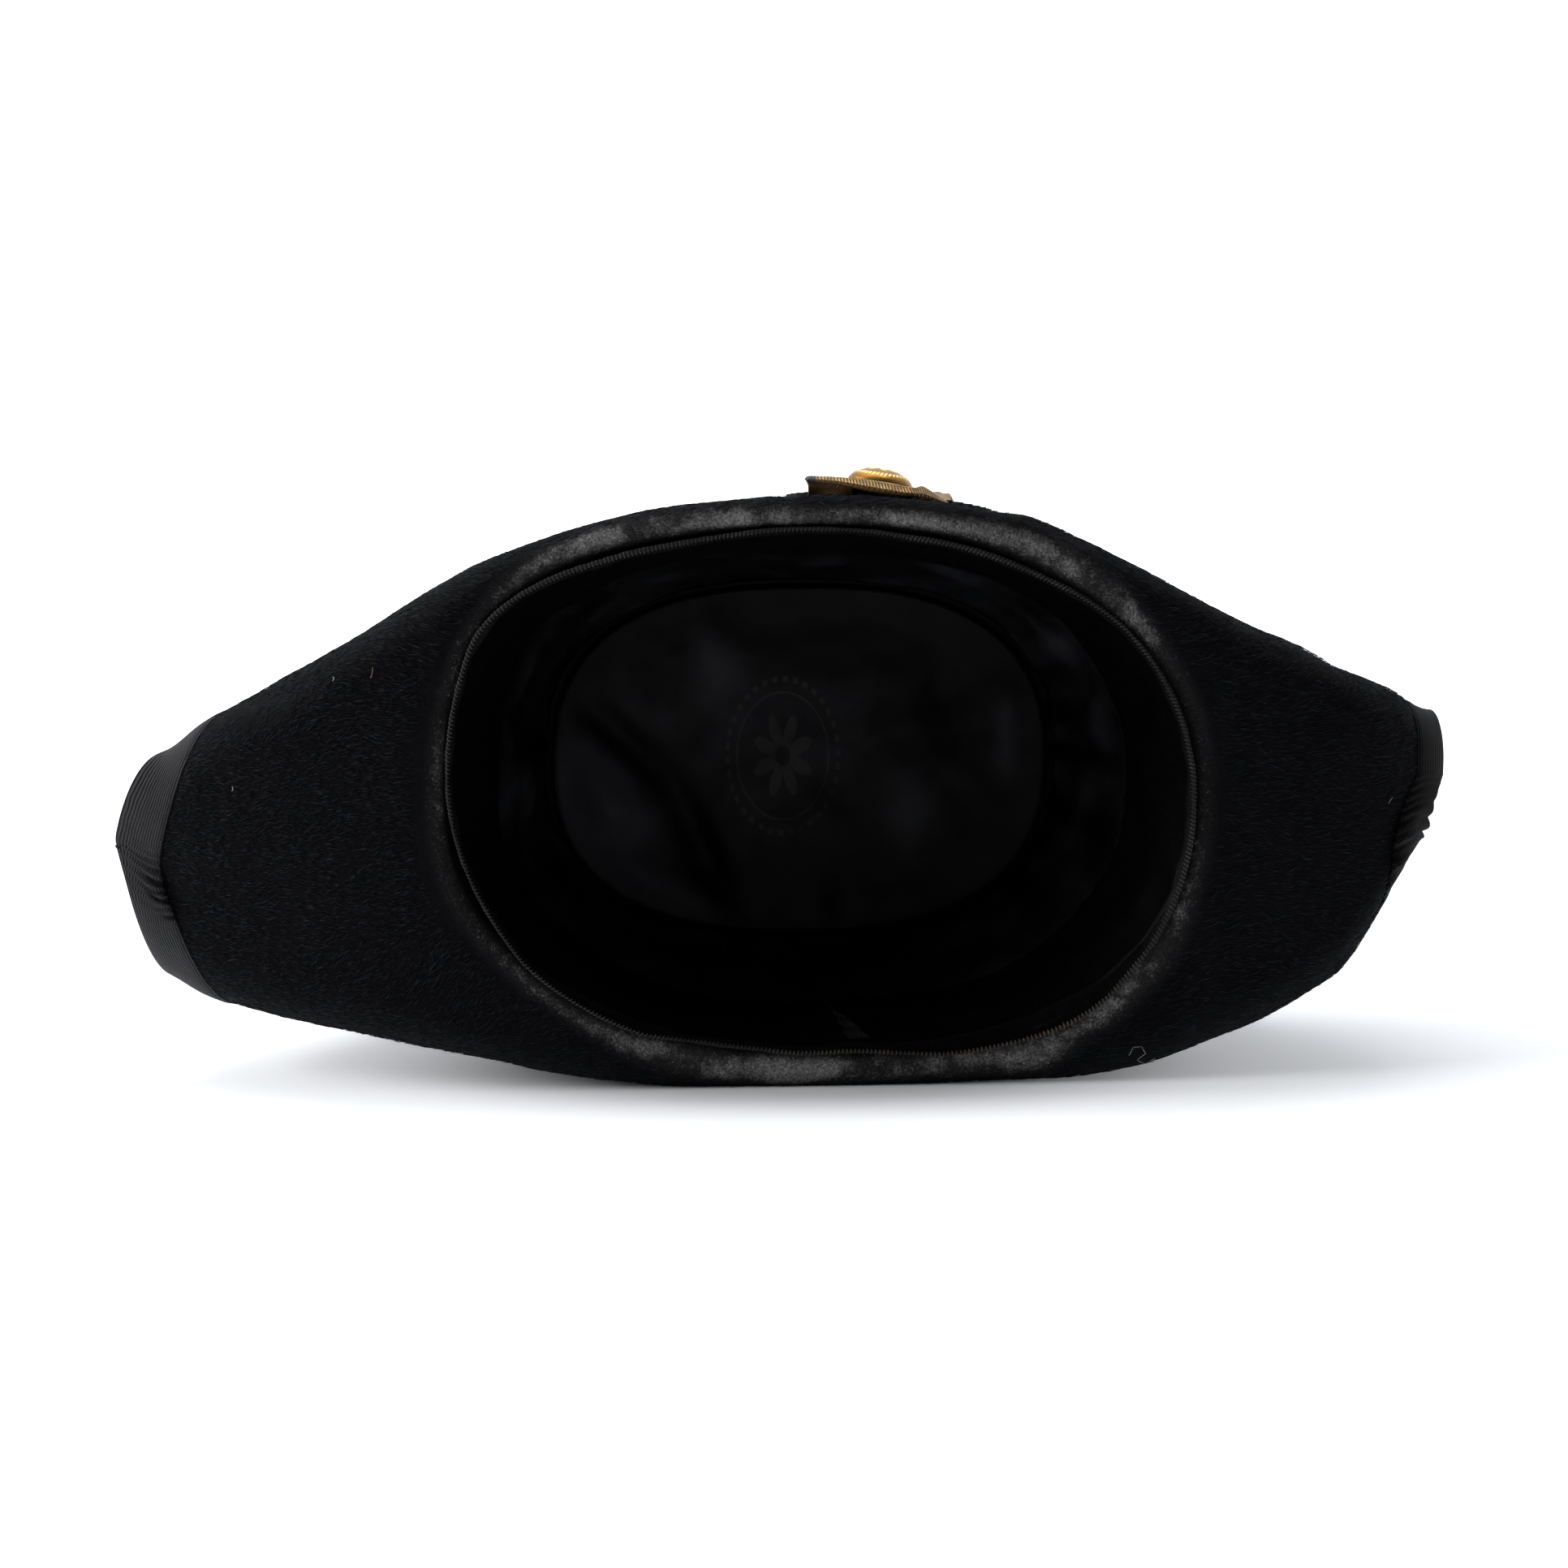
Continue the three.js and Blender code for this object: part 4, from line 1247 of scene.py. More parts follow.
@dataclass
class EdgeRibbon:
    """Ribbon folded over the cut edge, gathered where it goes round the points."""

    columns: int = 900
    width: float = 12
    reach: float = 1.45
    gap: float = 0.12
    thick: float = 0.6
    lip: float = 1.4
    # Gathers: where their middle lies, how far they spread, how far apart and how high they are.
    gathers: Table = Table(
        "angle spread pitch height",
        (
            (187.2, 9, 2.6, 1.5),
            (351, 14, 3, 0.8),
        ),
    )
    # Single folds: angle, how wide and high, and how far from the edge they run out.
    folds: Table = Table(
        "angle wide height from_edge",
        (
            (187.6, 1.3, 2.1, 3),
            (184.6, 1.1, 1.1, 6),
            (190.6, 1.1, 0.9, 5),
            (349.5, 1.2, 1.1, 3),
            (345.2, 1.1, 1, 3),
        ),
    )
    # Frill at the front: where one of its humps lies, how far on the next is, middle, spread.
    frill: float = 1.3
    frill_at: tuple[float, float, float, float] = (348.3, 2.65, 346.8, 4.8)

    def section(self) -> list[tuple[float, float, float]]:
        """Closed path across the ribbon: distance to the edge, offset into the felt, reach."""
        near = self.gap
        wall = FORM.felt_wall
        down = self.width * (1 - np.concatenate([[0, 0.03, 0.07], np.linspace(0.12, 1, 12)]))
        turn = np.radians(np.linspace(-75, 75, 5))
        half = wall / 2
        thick = self.thick * (0.3 + 0.7 * smooth(self.width - down, 0, self.lip))
        far = dict(zip(down, near + thick, strict=True))
        full = near + self.thick
        loose, tight = self.reach, self.reach - self.thick
        past = {d: (1 - d / self.width) ** 6 for d in down}
        outer = [(d, -far[d], loose * past[d]) for d in down]
        outer += [(0, half + (half + full) * math.sin(a), loose + 0.5 * math.cos(a)) for a in turn]
        outer += [(d, wall + far[d], loose * past[d]) for d in down[::-1]]
        inner = [(d, wall + near, tight * past[d]) for d in down]
        inner += [(0, half - (half + near) * math.sin(a), tight + 0.4 * math.cos(a)) for a in turn]
        inner += [(d, -near, tight * past[d]) for d in down[::-1]]
        return outer + inner

    def _raised(
        self, angle: np.ndarray, run: np.ndarray, to_edge: np.ndarray
    ) -> tuple[np.ndarray, np.ndarray]:
        """Height of the gathers and folds, which die out towards the cut edge.

        Args:
            angle: angle of each column.
            run: distance of each column along the ribbon.
            to_edge: distances from the cut edge.

        Returns:
            The height at each distance and column, and its painted shade: above 0 a painted shadow
            in the valleys and beside the folds, below 0 a painted highlight on the crests.
        """
        share = np.clip(to_edge / self.width, 0, 1)
        total = 0 * (share + run)
        painted_fold_shade_and_highlight = 0 * total
        wander = 1.1 * np.sin(run / 4.7) + 0.8 * np.sin(run / 2.1)
        for at, spread, pitch, height in self.gathers.rows:
            near = bell(run - np.interp(at, angle, run), spread)
            crimp = (0.5 + 0.5 * np.sin(2 * np.pi * run / pitch + wander)) ** 1.4
            total = total + height * near * crimp * share**0.8
            shown = smooth(share, 0.25, 0.8) * near
            # Painted shade in the valleys between gathers, painted highlight on their crests.
            painted_fold_shade_and_highlight = painted_fold_shade_and_highlight + (0.8 * (1 - crimp) ** 3 - 0.5 * crimp**4) * shown
        for at, wide, height, from_edge in self.folds.rows:
            away = run - np.interp(at, angle, run) + 0.9 * np.sin(to_edge / 3)
            fades = smooth(to_edge, from_edge, self.width - 1)
            total = total + height * bell(away, wide) * fades
            # Painted shadow beside each fold.
            painted_fold_shade_and_highlight = painted_fold_shade_and_highlight + height * bell(away - 1.6 * wide, 0.7 * wide) * fades
        return total, np.minimum(painted_fold_shade_and_highlight, 1)

    def build(self) -> bpy.types.Object:
        """The ribbon, folded over the cut edge, with its marks."""
        angle = FORM.columns(self.columns)
        section = self.section()
        to_edge = np.array([row[0] for row in section])[:, None]
        into = np.array([row[1] for row in section])[:, None, None]
        reach = np.array([row[2] for row in section])[:, None, None]
        points, ahead, inward = FORM.brim(angle, to_edge + 0 * angle)
        run = np.cumsum(np.linalg.norm(np.diff(points[0], axis=0, append=points[0][:1]), axis=-1))
        rise, painted_fold_shade_and_highlight = self._raised(angle, run, to_edge)
        hump, pitch, middle, spread = self.frill_at
        near = bell(angle - middle, spread)
        frill = self.frill * near * np.abs(np.cos(np.pi * (angle - hump) / pitch))
        rise = rise + frill
        # Painted shade between the humps of the frill.
        painted_fold_shade_and_highlight = painted_fold_shade_and_highlight + near * (1 - frill / self.frill) ** 4 * 0.8
        outward = np.sign(into - FORM.felt_wall / 2)
        outer_face = np.abs(into - FORM.felt_wall / 2) > FORM.felt_wall / 2 + self.gap + 0.05
        points = points + inward * (into + outward * rise[..., None] * outer_face) + ahead * reach
        at_edge = np.clip(1 - to_edge / 5, 0, 1) * (frill - 0.6 * self.frill * near)
        placed = FORM.place(points + ahead * at_edge[..., None])
        placed[..., 2] = np.maximum(placed[..., 2], 0)
        across = to_edge + 0.9 * rise
        # Painted light: the ribbon is painted greyer towards the rear point, where light from the
        # left falls.
        faded = (1 - smooth(placed[..., 0], -120, 40)) * 0.99 + 0.01
        shape = Shape()
        shape.loft(placed.transpose(1, 0, 2), True, across=across.T, faded=faded.T, hollow=painted_fold_shade_and_highlight.T)
        piece = shape.build("ribbon_binding", RibbedSilk("ribbon_silk").material())
        return seat(piece, "edge_ribbon", "edge_ribbon")


@dataclass
class HeadBand:
    """Leather band round the head opening, its whipped edge and the seam that closes it."""

    wall: float = 1.2
    columns: int = 420
    rows: int = 26
    top: float = 1.3
    deep_edge: float = 38.7
    seam_at: float = 273.5
    # Where light falls on the band, painted there as highlight on its scuffs and raw edge, and
    # where the thread is tan: angle and width.
    painted_light: tuple[float, float] = (335, 62)
    tan: tuple[float, float] = (296, 20)
    cord_steps: int = 2800
    cord_sides: int = 9
    cord_length: float = 102.35
    cord_width: float = 71.45
    cord_h: float = -0.3
    # The rolled edge's wavering way round the head: how far out of its oval, and how thick.
    way: Table = Table(
        "angle out radius",
        (
            (0, 0.4, 0.85),
            (10, -0.2, 0.9),
            (20, 0, 0.9),
            (30, 0.7, 0.75),
            (37, 1.1, 0.6),
            (46, 0.5, 0.75),
            (55, -0.6, 0.9),
            (66, -0.9, 0.9),
            (78, -0.8, 0.8),
            (85, 0.1, 0.65),
            (92, 0.7, 0.6),
            (100, -0.2, 0.75),
            (108, -0.9, 0.85),
            (118, -1, 0.9),
            (130, -0.1, 0.85),
            (140, 1, 0.7),
            (150, 1.9, 0.6),
            (160, 0.8, 0.65),
            (170, 0.3, 0.7),
            (178, 0.1, 0.7),
            (183, -0.8, 0.65),
            (190, -1.9, 0.6),
            (197, -2.2, 0.58),
            (204, -1.8, 0.58),
            (212, -0.4, 0.6),
            (220, 1.6, 0.55),
            (228, 2.5, 0.5),
            (236, 3, 0.5),
            (242, 3.1, 0.5),
            (248, 1.6, 0.58),
            (254, 0.6, 0.65),
            (261, 0.4, 0.7),
            (267, 1.1, 0.7),
            (273, 0.8, 0.65),
            (280, 2.4, 0.6),
            (286, 4.2, 0.6),
            (294, 5, 0.6),
            (302, 5.6, 0.62),
            (308, 5.4, 0.62),
            (314, 4.6, 0.65),
            (320, 3.2, 0.72),
            (328, 2.4, 0.78),
            (336, 1.7, 0.8),
            (344, 1.2, 0.85),
            (352, 0.8, 0.85),
            (360, 0.4, 0.85),
        ),
    )
    stitch_pitch: float = 1.12
    stitch_radius: float = 0.07
    profile: Table = Table(
        "h half_length half_width",
        ((1.3, 102, 71), (18, 96.6, 68.2), (40, 89.9, 65.1)),
    )

    def _edge(self, angle: np.ndarray) -> tuple[np.ndarray, np.ndarray, np.ndarray]:
        """How far out of its oval the rolled edge is, its height, clear of the bend, and radius."""
        out = self.way.read("angle", "out", angle % 360)
        radius = self.way.read("angle", "radius", angle % 360)
        inward = np.clip(FORM.head_length - self.cord_length - out, 0, None)
        clear = FORM.bend + radius + 0.2
        room = FORM.bend - np.sqrt(np.clip(clear**2 - inward**2, 0, None))
        return out, np.minimum(self.cord_h, room), radius

    def _face(self, angle: np.ndarray, step: np.ndarray, shrink: float) -> np.ndarray:
        """One face of the band.

        Above its top line the band reaches over to the rolled edge. Below it, it is the table's
        oval less the wall, with soft waves and the seam, and swings out with the rolled edge
        as far as the felt lets it.

        Args:
            angle: angles round the hat.
            step: -1 at the rolled edge, 0 at the top line, then heights below it.
            shrink: how far this face lies inside the outer one.

        Returns:
            Points in hat coordinates.
        """
        h = np.maximum(step, 0) + self.top
        length = self.profile.read("h", "half_length", h)
        width = self.profile.read("h", "half_width", h)
        points = FORM.ring(angle, length, width, h)
        wave = Ripple(SEED + 9, 38).at(points) * 0.55 * smooth(h, 6, 40)
        wave = wave + Ripple(SEED + 10, 11).at(points) * 0.1
        away = angle_from(self.seam_at, angle)
        lap = 0.55 * smooth(away, -2.2, -1.9) * (1 - smooth(away, 3, 4.5)) * (shrink > 0)
        out, height, _ = self._edge(angle)
        swing = np.clip(out, -2.5, 1.5) * (1 - smooth(h, self.top, 16))
        less = shrink + wave + lap - swing
        below = FORM.ring(angle, length - less, width - less, h)
        part = np.clip(-step, 0, 1)
        thin = shrink * (1 - 0.75 * part)
        roll = self._beside_cord(angle, out - thin * 0.4, height + thin * 0.6)
        return below + (roll - below) * part[..., None]

    def _beside_cord(self, angle: np.ndarray, out: np.ndarray, h: np.ndarray) -> np.ndarray:
        """Points out from the rolled edge's oval, at a height."""
        return FORM.ring(angle, self.cord_length + out, self.cord_width + out, h, 0)

    def build(self) -> bpy.types.Object:
        """The band, thinner along its deep edge."""
        angle = FORM.columns(self.columns)[:, None]
        deep = self.deep_edge
        step = np.concatenate([np.linspace(-1, 0, 6)[:-1], np.linspace(0, deep, self.rows)])
        step = step[None, :]
        outer = self._face(angle, step, 0)
        inner = self._face(angle, step, self.wall)
        pinch = smooth(step, deep - 2, deep)[..., None] * 0.3
        middle = (outer + inner) / 2
        outer, inner = outer + (middle - outer) * pinch, inner + (middle - inner) * pinch
        rings = there_and_back(outer, inner)
        rim = smooth(step, deep - 1.4, deep - 0.4)
        rim = there_and_back(rim, rim)
        at, spread = self.painted_light
        painted_light = bell(angle_from(at, angle), spread)
        shape = Shape()
        # Both marks follow the painted light: scuffs and raw edge are painted highlight where light
        # falls.
        shape.loft(FORM.place(rings), True, rim=rim * (0.2 + 0.8 * painted_light), worn=painted_light)
        return seat(shape.build("leather_band", BandLeather().material()), "sweatband", "sweatband")

    def _round(self, at: np.ndarray) -> tuple[np.ndarray, float]:
        """Angles at shares of the way round the rolled edge's oval, and the oval's length."""
        fine = np.linspace(0, 360, 4001)
        x, s = FORM.oval(fine, self.cord_length, self.cord_width, 0)
        far = np.concatenate([[0], np.cumsum(np.hypot(np.diff(x), np.diff(s)))])
        return np.interp(at * far[-1], far, fine), float(far[-1])

    def cord(self) -> bpy.types.Object:
        """Rolled edge: a tube whose radius swells where each slanting stitch passes over."""
        share = np.arange(self.cord_steps)[:, None] / self.cord_steps
        angle, length = self._round(share)
        turn = np.arange(self.cord_sides)[None, :] * 2 * np.pi / self.cord_sides
        stitches = round(length / self.stitch_pitch)
        phase = 2 * np.pi * stitches * share + 1.2 * np.cos(turn)
        thread = np.clip(0.25 + 0.9 * np.cos(phase), 0, 1)
        rough = Ripple(SEED + 12, 9).at(np.stack([angle * 1.8 + 0 * turn] * 3, axis=-1)) * 0.05
        centre, height, radius = self._edge(angle)
        comb = 0.1 + 0.34 * np.clip(-np.cos(turn), 0, 1)
        radius = radius * 0.74 - 0.06 + comb * thread**2 + rough
        out = centre + radius * np.cos(turn)
        rings = self._beside_cord(angle, out, height + radius * np.sin(turn))
        at, spread = self.tan
        tan = bell(angle_from(at, angle), spread)
        shape = Shape()
        shape.loft(FORM.place(rings), True, thread=thread, tan=tan)
        piece = shape.build("whipped_edge", WhippedCord().material())
        return seat(piece, "band_edge_cord", "band_edge_cord")

    def seam(self) -> bpy.types.Object:
        """Fan of stitches that closes the band: threads that meet near its deep edge."""
        shape = Shape()
        for number, spread in enumerate(np.linspace(-0.4, 2.2, 8)):
            h = np.linspace(1.6, 34 - 2.2 * number, 24)
            part = (h - 1.6) / 33
            angle = self.seam_at + spread * (1 - part) - 2.1 * part + 0.12 * np.sin(h * 0.7)
            length = self.profile.read("h", "half_length", h) - self.wall - 0.85
            width = self.profile.read("h", "half_width", h) - self.wall - 0.85
            path = FORM.place(FORM.ring(angle, length, width, h))
            shape.loft(tube(path, self.stitch_radius), False)
        thread = PlainThread("seam_thread", (0.022, 0.021, 0.019)).material()
        return seat(shape.build("band_seam_stitches", thread), "band_edge_cord")


@dataclass
class Lining:
    """Satin round the inside of the crown, and the panel in its end."""

    columns: int = 420
    rows: int = 34
    gap: float = 0.4
    wall: float = 1
    low: float = 9
    high: float = 89.5
    # Pleats in the side: where each lies, how many degrees wide and how deep it is.
    pleats: Table = Table(
        "at width depth",
        (
            (-40, 9, 1),
            (-24, 7, 1.2),
            (-12, 6, 1.4),
            (1, 2.4, 1.6),
            (10, 6, 1.2),
            (24, 8, 0.8),
            (177.5, 2.4, 1.3),
            (206, 8, 0.9),
        ),
    )
    panel_length: float = 73.2
    panel_width: float = 51.2
    panel_edge: float = 90.7
    panel_middle: float = 92.6
    panel_rings: int = 50
    panel_columns: int = 240
    # Soft folds of the panel: middle, the way it runs, length, width and height. Those below 0
    # are valleys.
    puffs: Table = Table(
        "x s angle length width height",
        (
            (-52, 5.5, 135, 24, 6.5, -3),
            (-29, -28, 113, 24, 6.5, -3.4),
            (-60, -10, 118, 20, 10, 5),
            (-47, -36, 148, 24, 7, 3.6),
            (-26, 33, 108, 18, 9, 2),
            (34, -14, 80, 16, 12, 1.8),
            (42, 18, 90, 18, 7, -2),
            (62, 8, 88, 16, 4, 1.8),
            (9, -44, 90, 12, 4, -1.6),
        ),
    )

    def _pleat(self, angle: np.ndarray, h: np.ndarray) -> np.ndarray:
        """Depth of the pleats: squared cosine bells that grow towards the crown's end."""
        share = np.clip((h - 40) / 50, 0, 1)
        total = 0 * (angle + h)
        for at, width, depth in self.pleats.rows:
            away = np.abs(angle_from(at, angle)) / width
            total = total + depth * share * np.cos(np.pi / 2 * np.minimum(away, 1)) ** 2
        return total

    def sides(self) -> bpy.types.Object:
        """The satin wall, a little inside the felt."""
        angle = FORM.columns(self.columns)[:, None]
        h = np.linspace(self.low, self.high, self.rows)[None, :]
        length = CROWN.read("h", "half_length", h) - self.gap
        width = CROWN.read("h", "half_width", h) - self.gap
        base = FORM.ring(angle, length, width, h)
        slack_and_painted_light = np.clip(Ripple(SEED + 14, 22).at(base), 0, 2) * 0.5 * smooth(h, 36, 60)
        slack_and_painted_light = slack_and_painted_light + np.clip(Ripple(SEED + 15, 8).at(base), 0, 2) * 0.14 * smooth(h, 36, 60)
        pleat = self._pleat(angle, h)
        inward = pleat + slack_and_painted_light
        outer, inner = (
            FORM.ring(angle, length - shrink - inward, width - shrink - inward, h)
            for shrink in (0, self.wall)
        )
        # Painted light: lighter towards the front and the hat's left side and on loose bulges,
        # painted shade in the pleats, none behind the band.
        painted_light = 0.14 + 0.14 * smooth(inner[..., 0], 0, 75) + 0.3 * smooth(-inner[..., 1], 20, 60)
        puff = np.clip(smooth(h, 38, 42) * painted_light + 0.4 * (slack_and_painted_light - 0.8 * pleat), 0, 1)
        shape = Shape()
        rings = FORM.place(there_and_back(outer, inner))
        shape.loft(rings, True, printed=0.0, puff=there_and_back(puff, puff))
        piece = shape.build("satin_side", LiningSatin("side_satin").material())
        return seat(piece, "side_lining", "side_lining")

    def _soft(self, x: np.ndarray, s: np.ndarray) -> np.ndarray:
        """Height of the panel's soft folds: long bells at the table's places."""
        total = 0 * x
        for px, ps, angle, length, width, height in self.puffs.rows:
            c, n = math.cos(math.radians(angle)), math.sin(math.radians(angle))
            u = ((x - px) * c + (s - ps) * n) / length
            v = ((s - ps) * c - (x - px) * n) / width
            total = total + height * np.exp(-1.6 * (u * u + v * v))
        return total

    def panel(self) -> bpy.types.Object:
        """The satin panel, hanging loose in soft folds, painted lighter on their crests and darker
        in their valleys.
        """
        angle = np.arange(self.panel_columns)[None, :] * 360 / self.panel_columns
        share = np.linspace(0.02, 1, self.panel_rings)[:, None]
        length, width = self.panel_length * share, self.panel_width * share
        x, s = FORM.oval(angle, length, width, self.panel_edge)
        flat = np.stack([x, s, 0 * x], axis=-1)
        edge = np.clip((1 - share) * 5, 0, 1)
        crumple = Ripple(SEED + 16, 15).at(flat) * 0.16 + Ripple(SEED + 17, 6).at(flat) * 0.05
        soft = (self._soft(x, s) + crumple - 0.6) * edge
        h = self.panel_middle + (self.panel_edge - self.panel_middle) * share**4 - soft
        front = FORM.place(np.stack([x, s, h], axis=-1))
        back = FORM.place(np.stack([x, s, h + self.wall], axis=-1))
        rings = np.concatenate([front, back[::-1]])
        # Painted light near the edge on the hat's left, painted shade towards the right and the
        # front, and light and shade painted by the height of the soft folds.
        rim = 0.25 * smooth(share, 0.7, 0.98) * smooth(-s, -10, 30)
        shade = 0.4 * smooth(s, 12, 44) + 0.2 * smooth(x, 10, 60)
        puff = 0.31 + 0.26 * self._soft(x, s) + rim - shade
        puff = np.clip(np.concatenate([puff, puff[::-1]]), 0, 1)
        shape = Shape()
        shape.loft(rings, False, flip=True, printed=1.0, puff=puff)
        piece = shape.build("satin_panel", LiningSatin("panel_satin").material())
        return seat(piece, "tip_lining", "tip_lining")


@dataclass
class Cockade:
    """Disc of black ribbon pleated round its middle, on the right leaf."""

    x: float = 22
    rise: float = 36
    radius: float = 29
    lift: float = 0.4
    thick: float = 1
    pleats: int = 44
    across_pleat: int = 8
    rings: int = 26

    def build(self) -> bpy.types.Object:
        """The disc: saw-tooth pleats that rise with the distance from the middle."""
        step = np.arange(self.pleats * self.across_pleat)[None, :]
        turn = step * 2 * np.pi / step.size
        saw = (step % self.across_pleat) / self.across_pleat
        share = np.linspace(0.05, 1, self.rings)[:, None]
        out = self.radius * share
        high = 0.55 * saw * smooth(share, 0.1, 0.6)
        x, rise = self.x + out * np.cos(turn), self.rise + out * np.sin(turn)
        under = FORM.on_leaf(x, rise, self.lift)
        over = FORM.on_leaf(x, rise, self.lift + self.thick - 0.15 + high)
        rings = np.concatenate([under, over[::-1]])
        shape = Shape()
        across = np.concatenate([out, out[::-1]]) + 0 * turn
        shape.loft(rings, False, across=across, faded=0.0, hollow=0.0)
        silk = RibbedSilk("cockade_silk", (0.012, 0.012, 0.014), (0.026, 0.026, 0.03), 1.1)
        piece = shape.build("pleated_cockade", silk.material())
        return seat(piece, "cockade", "cockade")


@dataclass
class LaceLoop:
    """Strip of gold lace folded into a long loop, with the button at its low end."""

    x: float = 15.5
    slant: float = 0.13
    width: float = 19.4
    slit: float = 0.7
    low: float = 0.4
    lift: float = 2.5
    thick: float = 1.5
    taper: float = 9
    clear: float = 6.5
    chamfer: float = 10
    top: float = 88
    steps: int = 340
    across: int = 36
    # The low end as it stands: its upper side over the felt, and how thick its rolled edge is.
    near_end: Table = Table(
        "x upper roll",
        (
            (-3, 5.3, 1.7),
            (4, 5.0, 2.1),
            (10, 4.7, 2.9),
            (15, 4.4, 3.6),
            (20, 4.0, 3.7),
            (24, 3.5, 3.1),
            (26, 3.5, 3),
            (28, 4.2, 3.9),
            (30.5, 3.4, 3.1),
            (34, 1.9, 1.6),
            (38, 0.8, 0.5),
        ),
    )
    # The turned under end: where it starts and ends along the hat, and how high it is.
    turning: tuple[float, float, float] = (-3, 9, 3.5)
    # How far in from the loop's low edge it is rolled, as a share of its width.
    rolled: float = 0.07

    def _stations(self) -> np.ndarray:
        """Rows along the strip: outer x and rise, inner x and rise."""
        half = self.slit / 2
        wide = half + self.width
        corner = self.low + self.width
        arm = [self.top, 78, 66, 50, 35]
        rows = [(-wide, rise, -half, rise) for rise in arm]
        rows += [
            (-wide, corner, -half, corner),
            (-wide, self.low + 1, -half, corner),
            (1 - wide, self.low, -half, corner - 0.2),
            (0, self.low, 0, corner - 0.4),
            (wide - self.chamfer, self.low, half, corner - 0.2),
            (wide, self.low + self.chamfer, half, corner),
            (wide, corner, half, corner),
        ]
        rows += [(wide, rise, half, rise) for rise in arm[::-1]]
        return np.array(rows, float)

    def _heights(self, x: np.ndarray, rise: np.ndarray) -> tuple[np.ndarray, np.ndarray]:
        """Lower and upper side over the felt: over the cockade, and the table's at the low end."""
        away = np.hypot(x - Cockade.x, rise - Cockade.rise) - Cockade.radius - self.clear
        base = self.lift + (0.5 - self.lift) * np.clip(away / self.taper, 0, 1)
        sloped = smooth(x, 22, 27)
        near = 1 - smooth(rise, 5 + 6 * sloped, 17 + 4 * sloped)
        upper = base + self.thick + (self.near_end.read("x", "upper", x) - base - self.thick) * near
        rolled = np.maximum(1 - smooth(rise, 1.2, 3.2), sloped) * near
        thick = self.thick + (self.near_end.read("x", "roll", x) - self.thick) * rolled
        return upper - thick, upper

    def build(self) -> bpy.types.Object:
        """The lace: rings across the strip, whose near edge is rolled under."""
        rows = self._stations()
        middle = rows[:, :2] * 0.7 + rows[:, 2:4] * 0.3
        far = np.concatenate([[0], np.cumsum(np.linalg.norm(np.diff(middle, axis=0), axis=1))])
        at = np.linspace(0, far[-1], self.steps)
        fine = np.stack([np.interp(at, far, column) for column in rows.T], axis=-1)
        share = np.linspace(0, 1, self.across)[None, :]
        rise = fine[:, 1:2] + (fine[:, 3:4] - fine[:, 1:2]) * share
        x = self.x + self.slant * rise + fine[:, 0:1] + (fine[:, 2:3] - fine[:, 0:1]) * share
        lower, upper = self._heights(x, rise)
        wide = share * self.width
        cord = 0.16 * np.sin(2 * np.pi * wide / GoldLace.rib) * smooth(share, 0, 0.05)
        edge = np.sqrt(1 - np.clip(1 - share / self.rolled, 0, 1) ** 2)
        belly = (upper - lower) / 2
        upper = lower + belly * (1 + edge) + cord * edge
        lower = lower + belly * (1 - edge)
        rings = there_and_back(FORM.on_leaf(x, rise, lower), FORM.on_leaf(x, rise, upper))
        flat = np.ones_like(x)
        torn = smooth(3.8 - (x - self.x + 19 + self.low), 0, 1.5) * smooth(3.5 - rise, 0, 1)
        along = at[:, None] * flat
        shape = Shape()
        shape.loft(
            rings,
            False,
            along=there_and_back(along, along),
            across=there_and_back(wide * flat, wide * flat),
            shaded=there_and_back(flat, 0 * flat),
            torn=there_and_back(torn, torn),
        )
        piece = shape.build("lace_strip", GoldLace().material())
        return seat(piece, "gold_loop", "gold_loop")

    def turned_end(self) -> bpy.types.Object:
        """End of the lace turned under: a low wall behind the rolled edge, loose in its middle."""
        start, end, height = self.turning
        x = np.linspace(start, end, 60)[:, None]
        up = np.linspace(0.15, height, 14)[None, :]
        rise = 2.4 + 0.5 * np.sin((x - start) * 0.5) + 0 * up
        x, up = x + 0 * up, up + 0 * x
        rings = there_and_back(FORM.on_leaf(x, rise, up), FORM.on_leaf(x, rise + 0.7, up))
        marks = {"along": there_and_back(x, x), "across": there_and_back(up, up)}
        shape = Shape()
        shape.loft(rings, False, shaded=1.0, torn=0.0, **marks)
        piece = shape.build("lace_turned_end", GoldLace().material())
        return seat(piece, "gold_loop")


